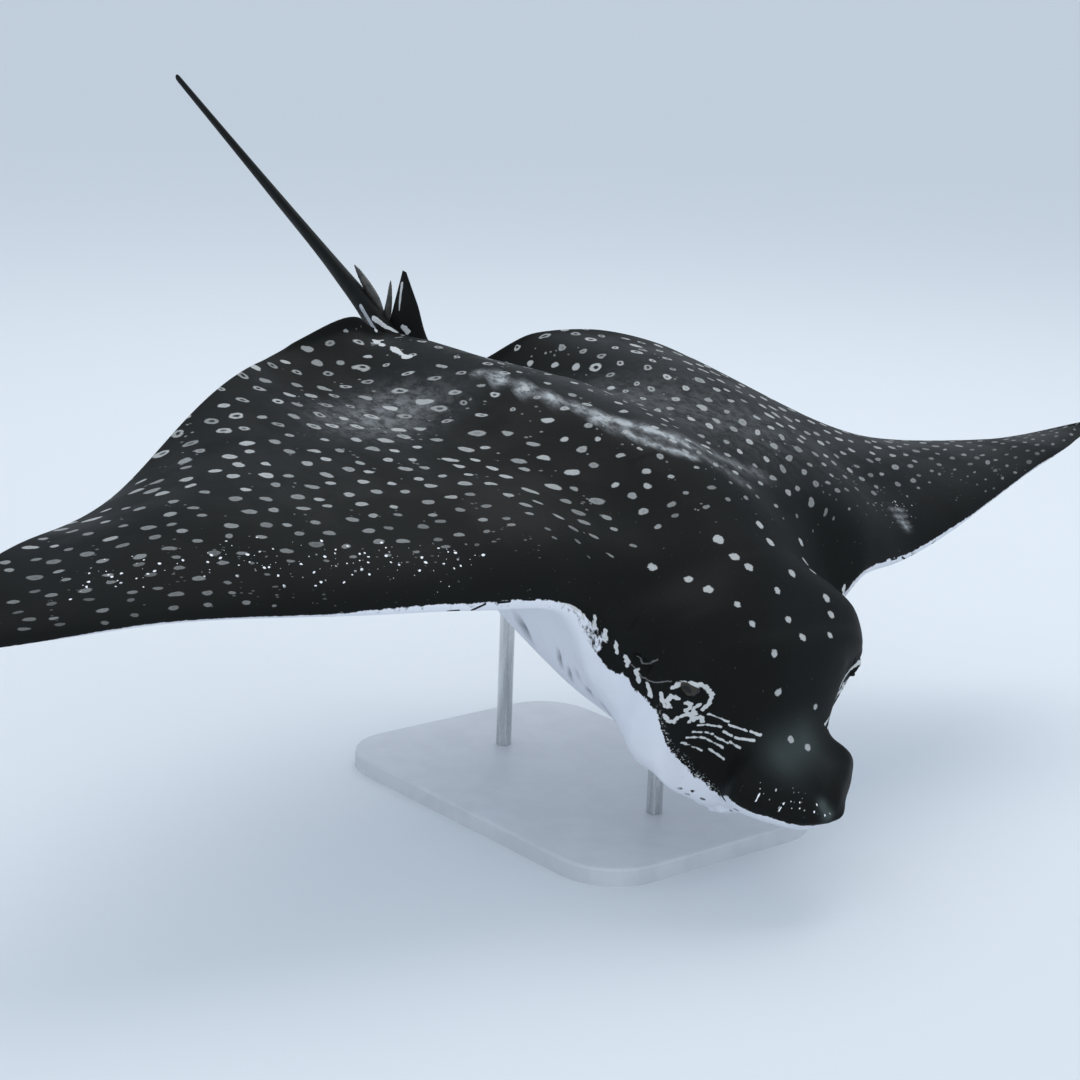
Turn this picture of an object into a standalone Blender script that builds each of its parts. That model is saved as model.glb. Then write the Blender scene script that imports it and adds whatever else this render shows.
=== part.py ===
"""A spotted eagle ray as a still, life-size display model on a plain stand.

The ray is worked out flat first: X runs to its left wing, Y to its tail, Z up, with every length a
fraction of the disc width. The flat body is parted by thin cuts, then every point goes through
pose(), which bends the wings and back, pitches and banks the ray, and lifts it over its stand.
"""

import bmesh
import bpy
import numpy as np
from mathutils import Matrix, Vector

# Driving dimensions, in metres and degrees.
DISC_WIDTH = 1.5
NOSE_DOWN = 16.7
LEFT_WING_DOWN = 4.8
RIDE_HEIGHT = 0.310
GAP = 0.0003
BASE_LENGTH = 0.44
BASE_WIDTH = 0.30
BASE_CORNER = 0.06
BASE_THICKNESS = 0.018
BASE_BEVEL = 0.003
ROD_RADIUS = 0.008
ROD_PLACES = {"front": -0.120, "back": 0.120}

# The resolution of the body: ribs between two outline points, and steps from backbone to edge.
RIBS_PER_SPAN = 3
STEPS_TO_EDGE = 8

# Where the body is parted, as fractions of the disc width.
LOBE_CUT = -0.236
NECK_CUT = -0.156
TAIL_CUT = 0.230
SHOULDER_CUT = 0.075
WING_CUT = 0.290
TAIL_LENGTHS = [0.230, 0.300, 0.385, 0.475, 0.575]

# The outline of the left half, snout to tail: edge x, edge y, and y of the rib's middle.
OUTLINE = [
    (0.000, -0.2835, -0.2835),
    (0.0150, -0.2805, -0.2775),
    (0.0250, -0.2710, -0.2660),
    (0.0422, -0.2562, -0.2512),
    (0.0503, -0.2450, -0.2420),
    (0.0405, -0.2245, -0.2235),
    (0.0520, -0.2090, -0.2100),
    (0.0785, -0.1950, -0.1980),
    (0.0850, -0.1790, -0.1830),
    (0.0880, -0.1650, -0.1680),
    (0.1000, -0.1510, -0.1500),
    (0.1350, -0.1370, -0.1300),
    (0.1900, -0.1230, -0.1080),
    (0.2750, -0.1030, -0.0800),
    (0.3700, -0.0740, -0.0500),
    (0.4500, -0.0470, -0.0220),
    (0.4985, -0.0200, 0.0080),
    (0.4550, 0.0120, 0.0360),
    (0.3850, 0.0520, 0.0640),
    (0.3000, 0.0970, 0.0930),
    (0.2150, 0.1460, 0.1240),
    (0.1500, 0.1900, 0.1530),
    (0.1100, 0.2150, 0.1740),
    (0.0780, 0.2240, 0.1900),
    (0.0480, 0.2180, 0.2040),
    (0.0260, 0.2120, 0.2140),
    (0.0180, 0.2260, 0.2270),
    (0.0155, 0.2500, 0.2500),
]

# Height of the back, the edge and the belly along the middle, against y.
PROFILE_Y = [-0.2835, -0.275, -0.258, -0.240, -0.228, -0.212, -0.192, -0.165, -0.142, -0.12, -0.06,
             0.0, 0.06, 0.12, 0.17, 0.21, 0.25]
BACK = [-0.0465, -0.0385, -0.0290, -0.0256, -0.0150, 0.0215, 0.034, 0.0462, 0.0522, 0.056, 0.063,
        0.063, 0.057, 0.0455, 0.0365, 0.0285, 0.020]
EDGE = [-0.0465, -0.0463, -0.0458, -0.0393, -0.0425, -0.0237, -0.0108, -0.0065, -0.0120, -0.0040, 0.0,
        0.0, 0.0, 0.0, 0.0, 0.004, 0.007]
BELLY = [-0.0465, -0.0600, -0.0702, -0.0780, -0.0872, -0.0965, -0.0895, -0.0968, -0.0968, -0.0958,
         -0.0938, -0.0880, -0.0722, -0.0500, -0.0330, -0.0190, -0.007]
CORE_Y = [-0.20, -0.15, -0.10, 0.0, 0.10, 0.17, 0.21, 0.25]
CORE_HALF_WIDTH = [0.080, 0.085, 0.092, 0.098, 0.084, 0.056, 0.030, 0.016]

# The leading and trailing edges and the thickness of the wing, against distance from the middle.
SPAN = [0.0, 0.06, 0.085, 0.12, 0.18, 0.26, 0.36, 0.44, 0.50]
LEADING = [-0.180, -0.173, -0.163, -0.143, -0.126, -0.107, -0.077, -0.050, -0.019]
TRAILING = [0.212, 0.2235, 0.224, 0.209, 0.169, 0.119, 0.065, 0.019, -0.018]
THICKNESS = [0.070, 0.062, 0.056, 0.048, 0.037, 0.026, 0.016, 0.010, 0.006]
EDGE_THICKNESS = 0.0022

# How each wing is held: height of its axis, and degrees that its trailing edge is turned up.
STATIONS = [0.0, 0.06, 0.12, 0.20, 0.30, 0.40, 0.50]
WING_POSE = {
    "left": {
        "lift": [0.0, 0.0055, 0.033, 0.0255, 0.027, 0.0375, 0.0475],
        "twist": [0.0, -2.8, 2.6, 2.9, -11.1, -21.7, -30.8],
        "curl": [0.0, -0.0045, -0.012, 0.0085, -0.004, -0.002, 0.006],
    },
    "right": {
        "lift": [0.0, -0.0075, 0.0075, 0.006, 0.0, -0.0275, -0.0595],
        "twist": [0.0, 1.1, -9.6, -5.7, 3.1, -5.7, -3.8],
        "curl": [0.0, 0.0365, 0.053, 0.0295, -0.036, 0.0025, 0.014],
    },
}
ARCH = 0.344
TAIL_PITCH_UP = 22.0
TAIL_TURN_LEFT = -2.3

# The tail: middle height and half sizes against y.
TAIL_Y = [0.230, 0.245, 0.270, 0.320, 0.420, 0.575]
TAIL_HEIGHT = [0.0055, 0.0080, 0.0105, 0.0115, 0.0100, 0.0070]
TAIL_HALF_WIDTH = [0.0170, 0.0132, 0.0096, 0.0068, 0.0046, 0.0026]
TAIL_HALF_DEPTH = [0.0172, 0.0134, 0.0100, 0.0068, 0.0046, 0.0026]

# The fins at the tail root: front and back ends of the root, then of the tip, and half the thickness.
DORSAL_FIN = (
    ((0, 0.1880, 0.0300), (0, 0.2470, 0.0120)),
    ((0, 0.2558, 0.0597), (0, 0.2590, 0.0585)),
    0.0030,
)
PELVIC_FIN_LEFT = (
    ((0.012, 0.205, 0.001), (0.011, 0.242, 0.001)),
    ((0.035, 0.248, 0.008), (0.028, 0.259, 0.008)),
    0.0034,
)
PELVIC_FIN_RIGHT = (
    ((-0.012, 0.205, 0.001), (-0.011, 0.242, 0.001)),
    ((-0.032, 0.248, 0.010), (-0.025, 0.259, 0.010)),
    0.0034,
)

# The stinging spines: y, height and half width from root to point.
SPINES = {
    "tail_spine_long": [(0.259, 0.0180, 0.0036), (0.270, 0.0215, 0.0048), (0.283, 0.0238, 0.0044),
                        (0.295, 0.0256, 0.0030), (0.3055, 0.0272, 0.0007)],
    "tail_spine_short": [(0.2520, 0.0150, 0.0040), (0.2545, 0.0225, 0.0040), (0.2580, 0.0310, 0.0032),
                         (0.2622, 0.0385, 0.0020), (0.2656, 0.0442, 0.0005)],
}
SPINE_FLATNESS = 0.6

# The eyes: centre of the left one, and radius.
EYE_PLACE = (0.0692, -0.1945, -0.0035)
EYE_RADIUS = 0.0085


def curve(x, xs, ys):
    """A smooth line through (xs, ys), read at x: cubic spans whose slopes are those of their neighbours."""
    xs = np.asarray(xs, float)
    ys = np.asarray(ys, float)
    slopes = np.gradient(ys, xs)
    x = np.clip(x, xs[0], xs[-1])
    k = np.clip(np.searchsorted(xs, x) - 1, 0, len(xs) - 2)
    width = xs[k + 1] - xs[k]
    t = (x - xs[k]) / width
    start = (1 + 2 * t) * (1 - t) ** 2 * ys[k] + t * (1 - t) ** 2 * width * slopes[k]
    return start + t * t * (3 - 2 * t) * ys[k + 1] + t * t * (t - 1) * width * slopes[k + 1]


def ease(x, low, high):
    t = np.clip((x - low) / (high - low), 0, 1)
    return t * t * (3 - 2 * t)


def edge_to_middle(count, half_width):
    """Fractions of a rib, edge to middle: even angles on a narrow rib, close at both ends of a wide one."""
    q = np.linspace(1, 0, count + 1)
    narrow = np.sin(q * np.pi / 2)
    wide = (1 - np.cos(q * np.pi)) / 2
    share = ease(half_width, 0.08, 0.28)
    return narrow * (1 - share) + wide * share


def heights(x, y, t):
    """Top and bottom of the flat body at (x, y); t is 0 in the middle of a rib and 1 at its edge."""
    reach = np.abs(x)
    middle = curve(y, PROFILE_Y, EDGE)
    core = curve(y, CORE_Y, CORE_HALF_WIDTH)
    rounded = np.maximum(ease(-y, 0.135, 0.185), ease(y, 0.205, 0.226))
    shoulder = np.exp(-0.9 * (reach / core) ** 2.2) * np.sqrt(np.clip(1 - t ** 10, 0, 1))
    square = 2.2 + 0.8 * ease(-y, 0.14, 0.18) * (1 - ease(-y, 0.20, 0.235))
    dome = rounded * np.clip(1 - t ** square, 0, 1) ** (1 / square) + (1 - rounded) * shoulder
    leading = curve(reach, SPAN, LEADING)
    chord = np.clip((y - leading) / (curve(reach, SPAN, TRAILING) - leading), 0, 1)
    wing = curve(reach, SPAN, THICKNESS) / 2 * 2.6 * np.sqrt(chord) * (1 - chord)
    rim = EDGE_THICKNESS / 2 * np.sqrt(np.clip(1 - t ** 30, 0, 1))
    top = ((curve(y, PROFILE_Y, BACK) - middle) * dome) ** 3 + (1.1 * wing) ** 3 + rim ** 3
    bottom = ((middle - curve(y, PROFILE_Y, BELLY)) * dome) ** 3 + (0.9 * wing) ** 3 + rim ** 3
    return middle + np.cbrt(top), middle - np.cbrt(bottom)


def flat_body():
    """Ribs over and under the flat body from snout to tail root, as loops of points in disc widths."""
    points = np.array(OUTLINE)
    place = np.concatenate([[0], np.cumsum(np.hypot(*np.diff(points[:, :2], axis=0).T))])
    loops = []
    for k in range(len(points) - 1):
        for step in range(RIBS_PER_SPAN):
            where = place[k] + (place[k + 1] - place[k]) * (step + 1) / RIBS_PER_SPAN
            half, edge_y, middle_y = (float(curve(where, place, points[:, i])) for i in range(3))
            t = edge_to_middle(STEPS_TO_EDGE, half)
            t = np.concatenate([t, -t[-2::-1]])
            x = half * t
            y = middle_y + (edge_y - middle_y) * t ** 2
            top, bottom = heights(x, y, np.abs(t))
            over = np.stack([x, y, top], 1)
            under = np.stack([x, y, bottom], 1)[-2:0:-1]
            loops.append(np.concatenate([over, under]))
    return np.array(loops), np.array([0.0, *OUTLINE[0][1:2], EDGE[0]])


def wing_pose(x, y, z, side):
    """Lift, twist and curl of one wing, which fade out toward the head but not along the leading edge."""
    reach = np.abs(x)
    pose_of = WING_POSE[side]
    hold = 1 - ease(-y, 0.085, -NECK_CUT - 0.001) * (1 - ease(reach, 0.09, 0.14))
    grid = np.linspace(0, STATIONS[-1], 201)
    slope = np.gradient(curve(grid, STATIONS, pose_of["lift"]), grid)
    across = np.concatenate([[0], np.cumsum(np.sqrt(1 - slope[1:] ** 2) * np.diff(grid))])
    twist = np.radians(curve(reach, STATIONS, pose_of["twist"])) * hold
    leading = curve(reach, SPAN, LEADING)
    trailing = curve(reach, SPAN, TRAILING)
    axis = 0.7 * leading + 0.3 * trailing
    behind = y - axis
    curl = np.clip(behind / (trailing - axis), 0, 1) ** 2 * curve(reach, STATIONS, pose_of["curl"])
    rise = curve(reach, STATIONS, pose_of["lift"]) * hold + behind * np.sin(twist) + curl
    return (
        np.sign(x) * np.interp(reach, grid, across),
        axis + behind * np.cos(twist) - z * np.sin(twist),
        rise + z * np.cos(twist),
    )


def pose(points):
    """Flat points, in disc widths, taken to the posed ray in metres."""
    x, y, z = np.asarray(points, float).T
    left = wing_pose(x, y, z, "left")
    right = wing_pose(x, y, z, "right")
    x, y, z = (np.where(x >= 0, a, b) for a, b in zip(left, right))
    x = x + np.tan(np.radians(TAIL_TURN_LEFT)) * np.maximum(y - TAIL_CUT, 0)
    run = np.linspace(-0.4, 0.8, 1201)
    bent = np.arctan(2 * ARCH * np.minimum(run, TAIL_CUT - 0.02))
    pitch = -bent + np.radians(TAIL_PITCH_UP) * ease(run, 0.18, 0.235)
    along = np.concatenate([[0], np.cumsum(np.cos(pitch[1:]) * np.diff(run))])
    above = np.concatenate([[0], np.cumsum(np.sin(pitch[1:]) * np.diff(run))])
    start = int(np.argmin(np.abs(run)))
    angle = np.interp(y, run, pitch)
    spine_y = np.interp(y, run, along - along[start]) - z * np.sin(angle)
    spine_z = np.interp(y, run, above - above[start]) + z * np.cos(angle)
    ray = np.stack([x, spine_y, spine_z], 1) * DISC_WIDTH
    nod = Matrix.Rotation(np.radians(NOSE_DOWN), 3, "X")
    tilt = nod @ Matrix.Rotation(np.radians(LEFT_WING_DOWN), 3, "Y")
    return ray @ np.array(tilt).T + np.array([0, 0, RIDE_HEIGHT])


def new_material(name, colour, roughness, metallic=0.0):
    material = bpy.data.materials.new(name)
    material.use_nodes = True
    shader = material.node_tree.nodes["Principled BSDF"]
    shader.inputs["Base Color"].default_value = (*colour, 1)
    shader.inputs["Roughness"].default_value = roughness
    shader.inputs["Metallic"].default_value = metallic
    return material


def loft(loops, tip=None):
    """A closed mesh over loops of points, with flat ends, or drawn to one point before the first loop."""
    bm = bmesh.new()
    rows = [[bm.verts.new(point) for point in loop] for loop in loops]
    count = len(rows[0])
    for near, far in zip(rows, rows[1:]):
        for k in range(count):
            bm.faces.new((near[k], near[(k + 1) % count], far[(k + 1) % count], far[k]))
    if tip is None:
        bm.faces.new(rows[0])
    else:
        nose = bm.verts.new(tip)
        for k in range(count):
            bm.faces.new((nose, rows[0][(k + 1) % count], rows[0][k]))
    bm.faces.new(rows[-1])
    bmesh.ops.recalc_face_normals(bm, faces=bm.faces)
    return bm


def keep_side(bm, axis, low=None, high=None):
    """Cuts away what lies past low and high on one axis, and closes the cut with a flat face."""
    for limit, outward in ((low, -1), (high, 1)):
        if limit is None:
            continue
        point = Vector((0, 0, 0))
        point[axis] = limit
        normal = Vector((0, 0, 0))
        normal[axis] = outward
        parts = bm.verts[:] + bm.edges[:] + bm.faces[:]
        bmesh.ops.bisect_plane(
            bm, geom=parts, dist=1e-7, plane_co=point, plane_no=normal, clear_outer=True
        )
        rim = [edge for edge in bm.edges if edge.is_boundary]
        bmesh.ops.triangle_fill(bm, edges=rim, use_beauty=True, use_dissolve=False)
    bmesh.ops.recalc_face_normals(bm, faces=bm.faces)
    return bm


def finish(name, bm, material, posed=True):
    """The object of one sub-part. A posed one is given flat, in disc widths."""
    bmesh.ops.triangulate(bm, faces=bm.faces[:])
    if posed:
        for vert, place in zip(bm.verts, pose([vert.co[:] for vert in bm.verts])):
            vert.co = place
    bmesh.ops.recalc_face_normals(bm, faces=bm.faces)
    mesh = bpy.data.meshes.new(name)
    bm.to_mesh(mesh)
    bm.free()
    mesh.materials.append(material)
    mesh.shade_smooth()
    made = bpy.data.objects.new(name, mesh)
    bpy.context.scene.collection.objects.link(made)
    return made


def swollen(source, name, gap):
    """A cutter: a copy of an object, swollen by the gap that touching pieces keep."""
    mesh = source.data.copy()
    cutter = bpy.data.objects.new(name, mesh)
    bm = bmesh.new()
    bm.from_mesh(mesh)
    bm.normal_update()
    moves = [(vert, vert.co + vert.normal * gap * 1.5) for vert in bm.verts]
    for vert, place in moves:
        vert.co = place
    bm.to_mesh(mesh)
    bm.free()
    bpy.context.scene.collection.objects.link(cutter)
    cutter.hide_render = True
    cutter.display_type = "WIRE"
    return cutter


def cut(target, cutter):
    modifier = target.modifiers.new("cut_by_" + cutter.name, "BOOLEAN")
    modifier.operation = "DIFFERENCE"
    modifier.object = cutter
    modifier.solver = "EXACT"


for leftover in list(bpy.data.objects):
    bpy.data.objects.remove(leftover, do_unlink=True)

BACK_SKIN = new_material("spotted_back_skin", (0.012, 0.013, 0.014), 0.35)
TAIL_SKIN = new_material("tail_skin", (0.02, 0.021, 0.022), 0.4)
FIN_SKIN = new_material("fin_skin", (0.03, 0.031, 0.033), 0.4)
EYE = new_material("eye_glass", (0.01, 0.01, 0.012), 0.05)
SPINE = new_material("spine_bone", (0.35, 0.3, 0.24), 0.5)
STAND_BASE = new_material("stand_base_board", (0.05, 0.05, 0.055), 0.45)
STAND_STEEL = new_material("stand_rod_steel", (0.6, 0.6, 0.6), 0.3, 1.0)

# The body: one flat loft, parted at planes that leave a gap between the pieces.
HALF_GAP = GAP / 2 / DISC_WIDTH
body_loops, body_snout = flat_body()
BODY_PIECES = {
    "rostral_lobe": {"y": (None, LOBE_CUT), "x": (None, None)},
    "head": {"y": (LOBE_CUT, NECK_CUT), "x": (None, None)},
    "trunk": {"y": (NECK_CUT, TAIL_CUT), "x": (-SHOULDER_CUT, SHOULDER_CUT)},
    "wing_inner_left": {"y": (NECK_CUT, None), "x": (SHOULDER_CUT, WING_CUT)},
    "wing_inner_right": {"y": (NECK_CUT, None), "x": (-WING_CUT, -SHOULDER_CUT)},
    "wing_outer_left": {"y": (None, None), "x": (WING_CUT, None)},
    "wing_outer_right": {"y": (None, None), "x": (None, -WING_CUT)},
}
pieces = {}
for piece, limits in BODY_PIECES.items():
    body = loft(body_loops, body_snout)
    for axis_index, axis_name in ((1, "y"), (0, "x")):
        low, high = limits[axis_name]
        low = None if low is None else low + HALF_GAP
        high = None if high is None else high - HALF_GAP
        keep_side(body, axis_index, low, high)
    pieces[piece] = finish(piece, body, BACK_SKIN)


def section_loops(sections, points_around, plane):
    """Elliptic loops about centres: each section is (centre, half width, half height)."""
    angles = np.linspace(0, 2 * np.pi, points_around, endpoint=False)
    loops = []
    for centre, half_width, half_height in sections:
        across = half_width * np.cos(angles)
        upward = half_height * np.sin(angles)
        level = np.zeros_like(angles)
        offsets = (across, level, upward) if plane == "xz" else (across, upward, level)
        loops.append(np.array(centre) + np.stack(offsets, 1))
    return loops


# The tail: a tapering round rod in a few lengths, blunt at its end.
for index, (start, end) in enumerate(zip(TAIL_LENGTHS, TAIL_LENGTHS[1:]), start=1):
    steps = np.linspace(start + HALF_GAP, end - HALF_GAP * (end < TAIL_LENGTHS[-1]), 7)
    tail_sections = [
        (
            (0, y, curve(y, TAIL_Y, TAIL_HEIGHT)),
            curve(y, TAIL_Y, TAIL_HALF_WIDTH),
            curve(y, TAIL_Y, TAIL_HALF_DEPTH),
        )
        for y in steps
    ]
    pieces[f"tail_{index}"] = finish(
        f"tail_{index}", loft(section_loops(tail_sections, 12, "xz")), TAIL_SKIN
    )


def fin(name, root, tip, half_thickness, rows=7, sweep=1.6):
    """A thin fin: lens sections between its front and back edges, from root to tip, given flat."""
    loops = []
    for h in np.linspace(0, 1, rows + 1):
        front = np.array(root[0]) * (1 - h) + np.array(tip[0]) * h
        back = np.array(root[1]) * (1 - h ** sweep) + np.array(tip[1]) * h ** sweep
        chord = back - front
        up = np.array(tip[0]) - np.array(root[0])
        side = np.cross(chord, up)
        side = side / np.linalg.norm(side) * half_thickness * (1 - 0.55 * h)
        share = (1 - np.cos(np.linspace(0, np.pi, 7))) / 2
        bulge = np.sin(np.linspace(0, np.pi, 7)) ** 0.7
        over = front + share[:, None] * chord + bulge[:, None] * side
        under = (front + share[:, None] * chord - bulge[:, None] * side)[-2:0:-1]
        loops.append(np.concatenate([over, under]))
    return finish(name, loft(loops), FIN_SKIN)


# The fins at the tail root. Each is cut by the swollen body or tail that it grows from.
root_cutters = [swollen(pieces[piece], piece + "_cutter", GAP) for piece in ("trunk", "tail_1")]
FINS = {
    "dorsal_fin": DORSAL_FIN,
    "pelvic_fin_left": PELVIC_FIN_LEFT,
    "pelvic_fin_right": PELVIC_FIN_RIGHT,
}
for fin_name, (root, tip, half_thickness) in FINS.items():
    pieces[fin_name] = fin(fin_name, root, tip, half_thickness)
    for cutter in root_cutters:
        cut(pieces[fin_name], cutter)

# The stinging spines: flat blades on top of the tail, close behind the dorsal fin.
for spine_name, stations in SPINES.items():
    standing = spine_name == "tail_spine_short"
    spine_sections = [
        ((0, y, z), half_width * SPINE_FLATNESS, half_width) for y, z, half_width in stations
    ]
    plane = "xy" if standing else "xz"
    pieces[spine_name] = finish(spine_name, loft(section_loops(spine_sections, 10, plane)), SPINE)
    cut(pieces[spine_name], root_cutters[1])


# The eyes: a ball on each side of the head, in a socket cut for it.
for side_name, side in (("left", 1), ("right", -1)):
    centre = np.array([EYE_PLACE[0] * side, EYE_PLACE[1], EYE_PLACE[2]])
    balls = {"eye_" + side_name: EYE_RADIUS, "socket_" + side_name: EYE_RADIUS + HALF_GAP * 3}
    for ball_name, radius in balls.items():
        bm = bmesh.new()
        bmesh.ops.create_uvsphere(bm, u_segments=16, v_segments=10, radius=radius)
        bmesh.ops.translate(bm, verts=bm.verts, vec=centre)
        pieces[ball_name] = finish(ball_name, bm, EYE)
    socket = pieces["socket_" + side_name]
    socket.hide_render = True
    socket.display_type = "WIRE"
    cut(pieces["head"], socket)


def base_board():
    """The stand's flat base: a rounded rectangle with a bevelled top edge."""
    bm = bmesh.new()
    corners = []
    for quarter, (across, along) in enumerate(((1, 1), (-1, 1), (-1, -1), (1, -1))):
        for step in np.linspace(0, np.pi / 2, 7):
            angle = quarter * np.pi / 2 + step
            corners.append((
                across * (BASE_WIDTH / 2 - BASE_CORNER) + BASE_CORNER * np.cos(angle),
                along * (BASE_LENGTH / 2 - BASE_CORNER) + BASE_CORNER * np.sin(angle),
            ))
    floor = bm.faces.new([bm.verts.new((x, y, 0)) for x, y in corners])
    top = bmesh.ops.extrude_face_region(bm, geom=[floor])["geom"]
    for vert in [item for item in top if isinstance(item, bmesh.types.BMVert)]:
        vert.co.z = BASE_THICKNESS
    bmesh.ops.recalc_face_normals(bm, faces=bm.faces)
    rim = [edge for edge in bm.edges if all(vert.co.z > 0 for vert in edge.verts)]
    rim = [edge for edge in rim if len({face.normal.z > 0.5 for face in edge.link_faces}) == 2]
    bmesh.ops.bevel(bm, geom=rim, offset=BASE_BEVEL, segments=2, affect="EDGES", profile=0.5)
    return bm


# The stand: a flat base and two rods that end at the belly.
finish("stand_base", base_board(), STAND_BASE, posed=False)
belly_cutter = swollen(pieces["trunk"], "belly_cutter", GAP)
for rod_name, rod_y in ROD_PLACES.items():
    bm = bmesh.new()
    depth = RIDE_HEIGHT - BASE_THICKNESS
    bmesh.ops.create_cone(
        bm, cap_ends=True, segments=20, radius1=ROD_RADIUS, radius2=ROD_RADIUS, depth=depth
    )
    middle = (RIDE_HEIGHT + BASE_THICKNESS) / 2 + GAP
    bmesh.ops.translate(bm, verts=bm.verts, vec=(0, rod_y, middle))
    rod = finish("stand_rod_" + rod_name, bm, STAND_STEEL, posed=False)
    cut(rod, belly_cutter)
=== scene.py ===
"""A spotted eagle ray as a life-size display model, held on a plain stand in a banking, nose-down swim.

The ray is worked out flat first, with X to its left wing, Y to its tail and Z up, in lengths that are
fractions of the disc width. Then pose() bends its wings and back and lifts it over its stand, in metres.
"""

import bmesh
import bpy
import numpy as np
from mathutils import Matrix, Vector


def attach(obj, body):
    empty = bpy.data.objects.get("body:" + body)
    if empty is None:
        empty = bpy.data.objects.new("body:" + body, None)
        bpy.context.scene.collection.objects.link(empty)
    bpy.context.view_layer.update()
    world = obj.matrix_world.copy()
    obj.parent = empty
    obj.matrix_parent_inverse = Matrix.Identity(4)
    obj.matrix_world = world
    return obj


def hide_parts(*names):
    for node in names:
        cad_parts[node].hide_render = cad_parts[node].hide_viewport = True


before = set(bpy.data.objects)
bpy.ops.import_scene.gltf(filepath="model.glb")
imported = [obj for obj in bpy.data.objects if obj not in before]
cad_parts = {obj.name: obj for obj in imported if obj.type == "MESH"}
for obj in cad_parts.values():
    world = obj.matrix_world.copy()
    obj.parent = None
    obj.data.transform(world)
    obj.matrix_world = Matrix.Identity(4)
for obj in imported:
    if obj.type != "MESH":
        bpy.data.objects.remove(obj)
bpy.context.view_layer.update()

# The body under its skin: a flat disc that is all wing, with a domed trunk and head in the middle, a
# flat bill in front and a whip of a tail behind. It grows as one piece, so it is one closed shell of
# ribs that run from the backbone out to the edge, over and under.
DISC_WIDTH = 1.5
NOSE_DOWN = 16.7
LEFT_WING_DOWN = 4.8
RIDE_HEIGHT = 0.310
OUTLINE = [
    (0.000, -0.2835, -0.2835),
    (0.0150, -0.2805, -0.2775),
    (0.0250, -0.2710, -0.2660),
    (0.0422, -0.2562, -0.2512),
    (0.0503, -0.2450, -0.2420),
    (0.0405, -0.2245, -0.2235),
    (0.0520, -0.2090, -0.2100),
    (0.0785, -0.1950, -0.1980),
    (0.0850, -0.1790, -0.1830),
    (0.0880, -0.1650, -0.1680),
    (0.1000, -0.1510, -0.1500),
    (0.1350, -0.1370, -0.1300),
    (0.1900, -0.1230, -0.1080),
    (0.2750, -0.1030, -0.0800),
    (0.3700, -0.0740, -0.0500),
    (0.4500, -0.0470, -0.0220),
    (0.4985, -0.0200, 0.0080),
    (0.4550, 0.0120, 0.0360),
    (0.3850, 0.0520, 0.0640),
    (0.3000, 0.0970, 0.0930),
    (0.2150, 0.1460, 0.1240),
    (0.1500, 0.1900, 0.1530),
    (0.1100, 0.2150, 0.1740),
    (0.0780, 0.2240, 0.1900),
    (0.0480, 0.2180, 0.2040),
    (0.0260, 0.2120, 0.2140),
    (0.0180, 0.2260, 0.2270),
    (0.0155, 0.2500, 0.2500),
]
OUTLINE_X, OUTLINE_Y, RIB_Y = np.array(OUTLINE).T
OUTLINE_RUN = np.concatenate([[0], np.cumsum(np.hypot(np.diff(OUTLINE_X), np.diff(OUTLINE_Y)))])
PROFILE_Y = [-0.2835, -0.275, -0.258, -0.240, -0.228, -0.212, -0.192, -0.165, -0.142, -0.12, -0.06,
             0.0, 0.06, 0.12, 0.17, 0.21, 0.25]
BACK = [-0.0465, -0.0385, -0.0290, -0.0256, -0.0150, 0.0215, 0.034, 0.0462, 0.0522, 0.056, 0.063,
        0.063, 0.057, 0.0455, 0.0365, 0.0285, 0.020]
EDGE = [-0.0465, -0.0463, -0.0458, -0.0393, -0.0425, -0.0237, -0.0108, -0.0065, -0.0120, -0.0040, 0.0,
        0.0, 0.0, 0.0, 0.0, 0.004, 0.007]
BELLY = [-0.0465, -0.0600, -0.0702, -0.0780, -0.0872, -0.0965, -0.0895, -0.0968, -0.0968, -0.0958,
         -0.0938, -0.0880, -0.0722, -0.0500, -0.0330, -0.0190, -0.007]
CORE_Y = [-0.20, -0.15, -0.10, 0.0, 0.10, 0.17, 0.21, 0.25]
CORE_HALF_WIDTH = [0.080, 0.085, 0.092, 0.098, 0.084, 0.056, 0.030, 0.016]
SPAN = [0.0, 0.06, 0.085, 0.12, 0.18, 0.26, 0.36, 0.44, 0.50]
LEADING = [-0.180, -0.173, -0.163, -0.143, -0.126, -0.107, -0.077, -0.050, -0.019]
TRAILING = [0.212, 0.2235, 0.224, 0.209, 0.169, 0.119, 0.065, 0.019, -0.018]
THICKNESS = [0.070, 0.062, 0.056, 0.048, 0.037, 0.026, 0.016, 0.010, 0.006]
EDGE_THICKNESS = 0.0022
TAIL_CUT = 0.230
TAIL_END = 0.575
TAIL_Y = [0.230, 0.245, 0.270, 0.320, 0.420, 0.575]
TAIL_HEIGHT = [0.0055, 0.0080, 0.0105, 0.0115, 0.0100, 0.0070]
TAIL_HALF_WIDTH = [0.0170, 0.0132, 0.0096, 0.0068, 0.0046, 0.0026]
TAIL_HALF_DEPTH = [0.0172, 0.0134, 0.0100, 0.0068, 0.0046, 0.0026]
STEPS_TO_EDGE = 38
HEAD_STEP = 0.0013
WING_STEP = 0.0040
TAIL_STEP = 0.0042


def curve(x, xs, ys):
    """A smooth line through (xs, ys), read at x: cubic spans whose slopes are those of their neighbours."""
    xs = np.asarray(xs, float)
    ys = np.asarray(ys, float)
    slopes = np.gradient(ys, xs)
    x = np.clip(x, xs[0], xs[-1])
    k = np.clip(np.searchsorted(xs, x) - 1, 0, len(xs) - 2)
    width = xs[k + 1] - xs[k]
    t = (x - xs[k]) / width
    start = (1 + 2 * t) * (1 - t) ** 2 * ys[k] + t * (1 - t) ** 2 * width * slopes[k]
    return start + t * t * (3 - 2 * t) * ys[k + 1] + t * t * (t - 1) * width * slopes[k + 1]


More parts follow.
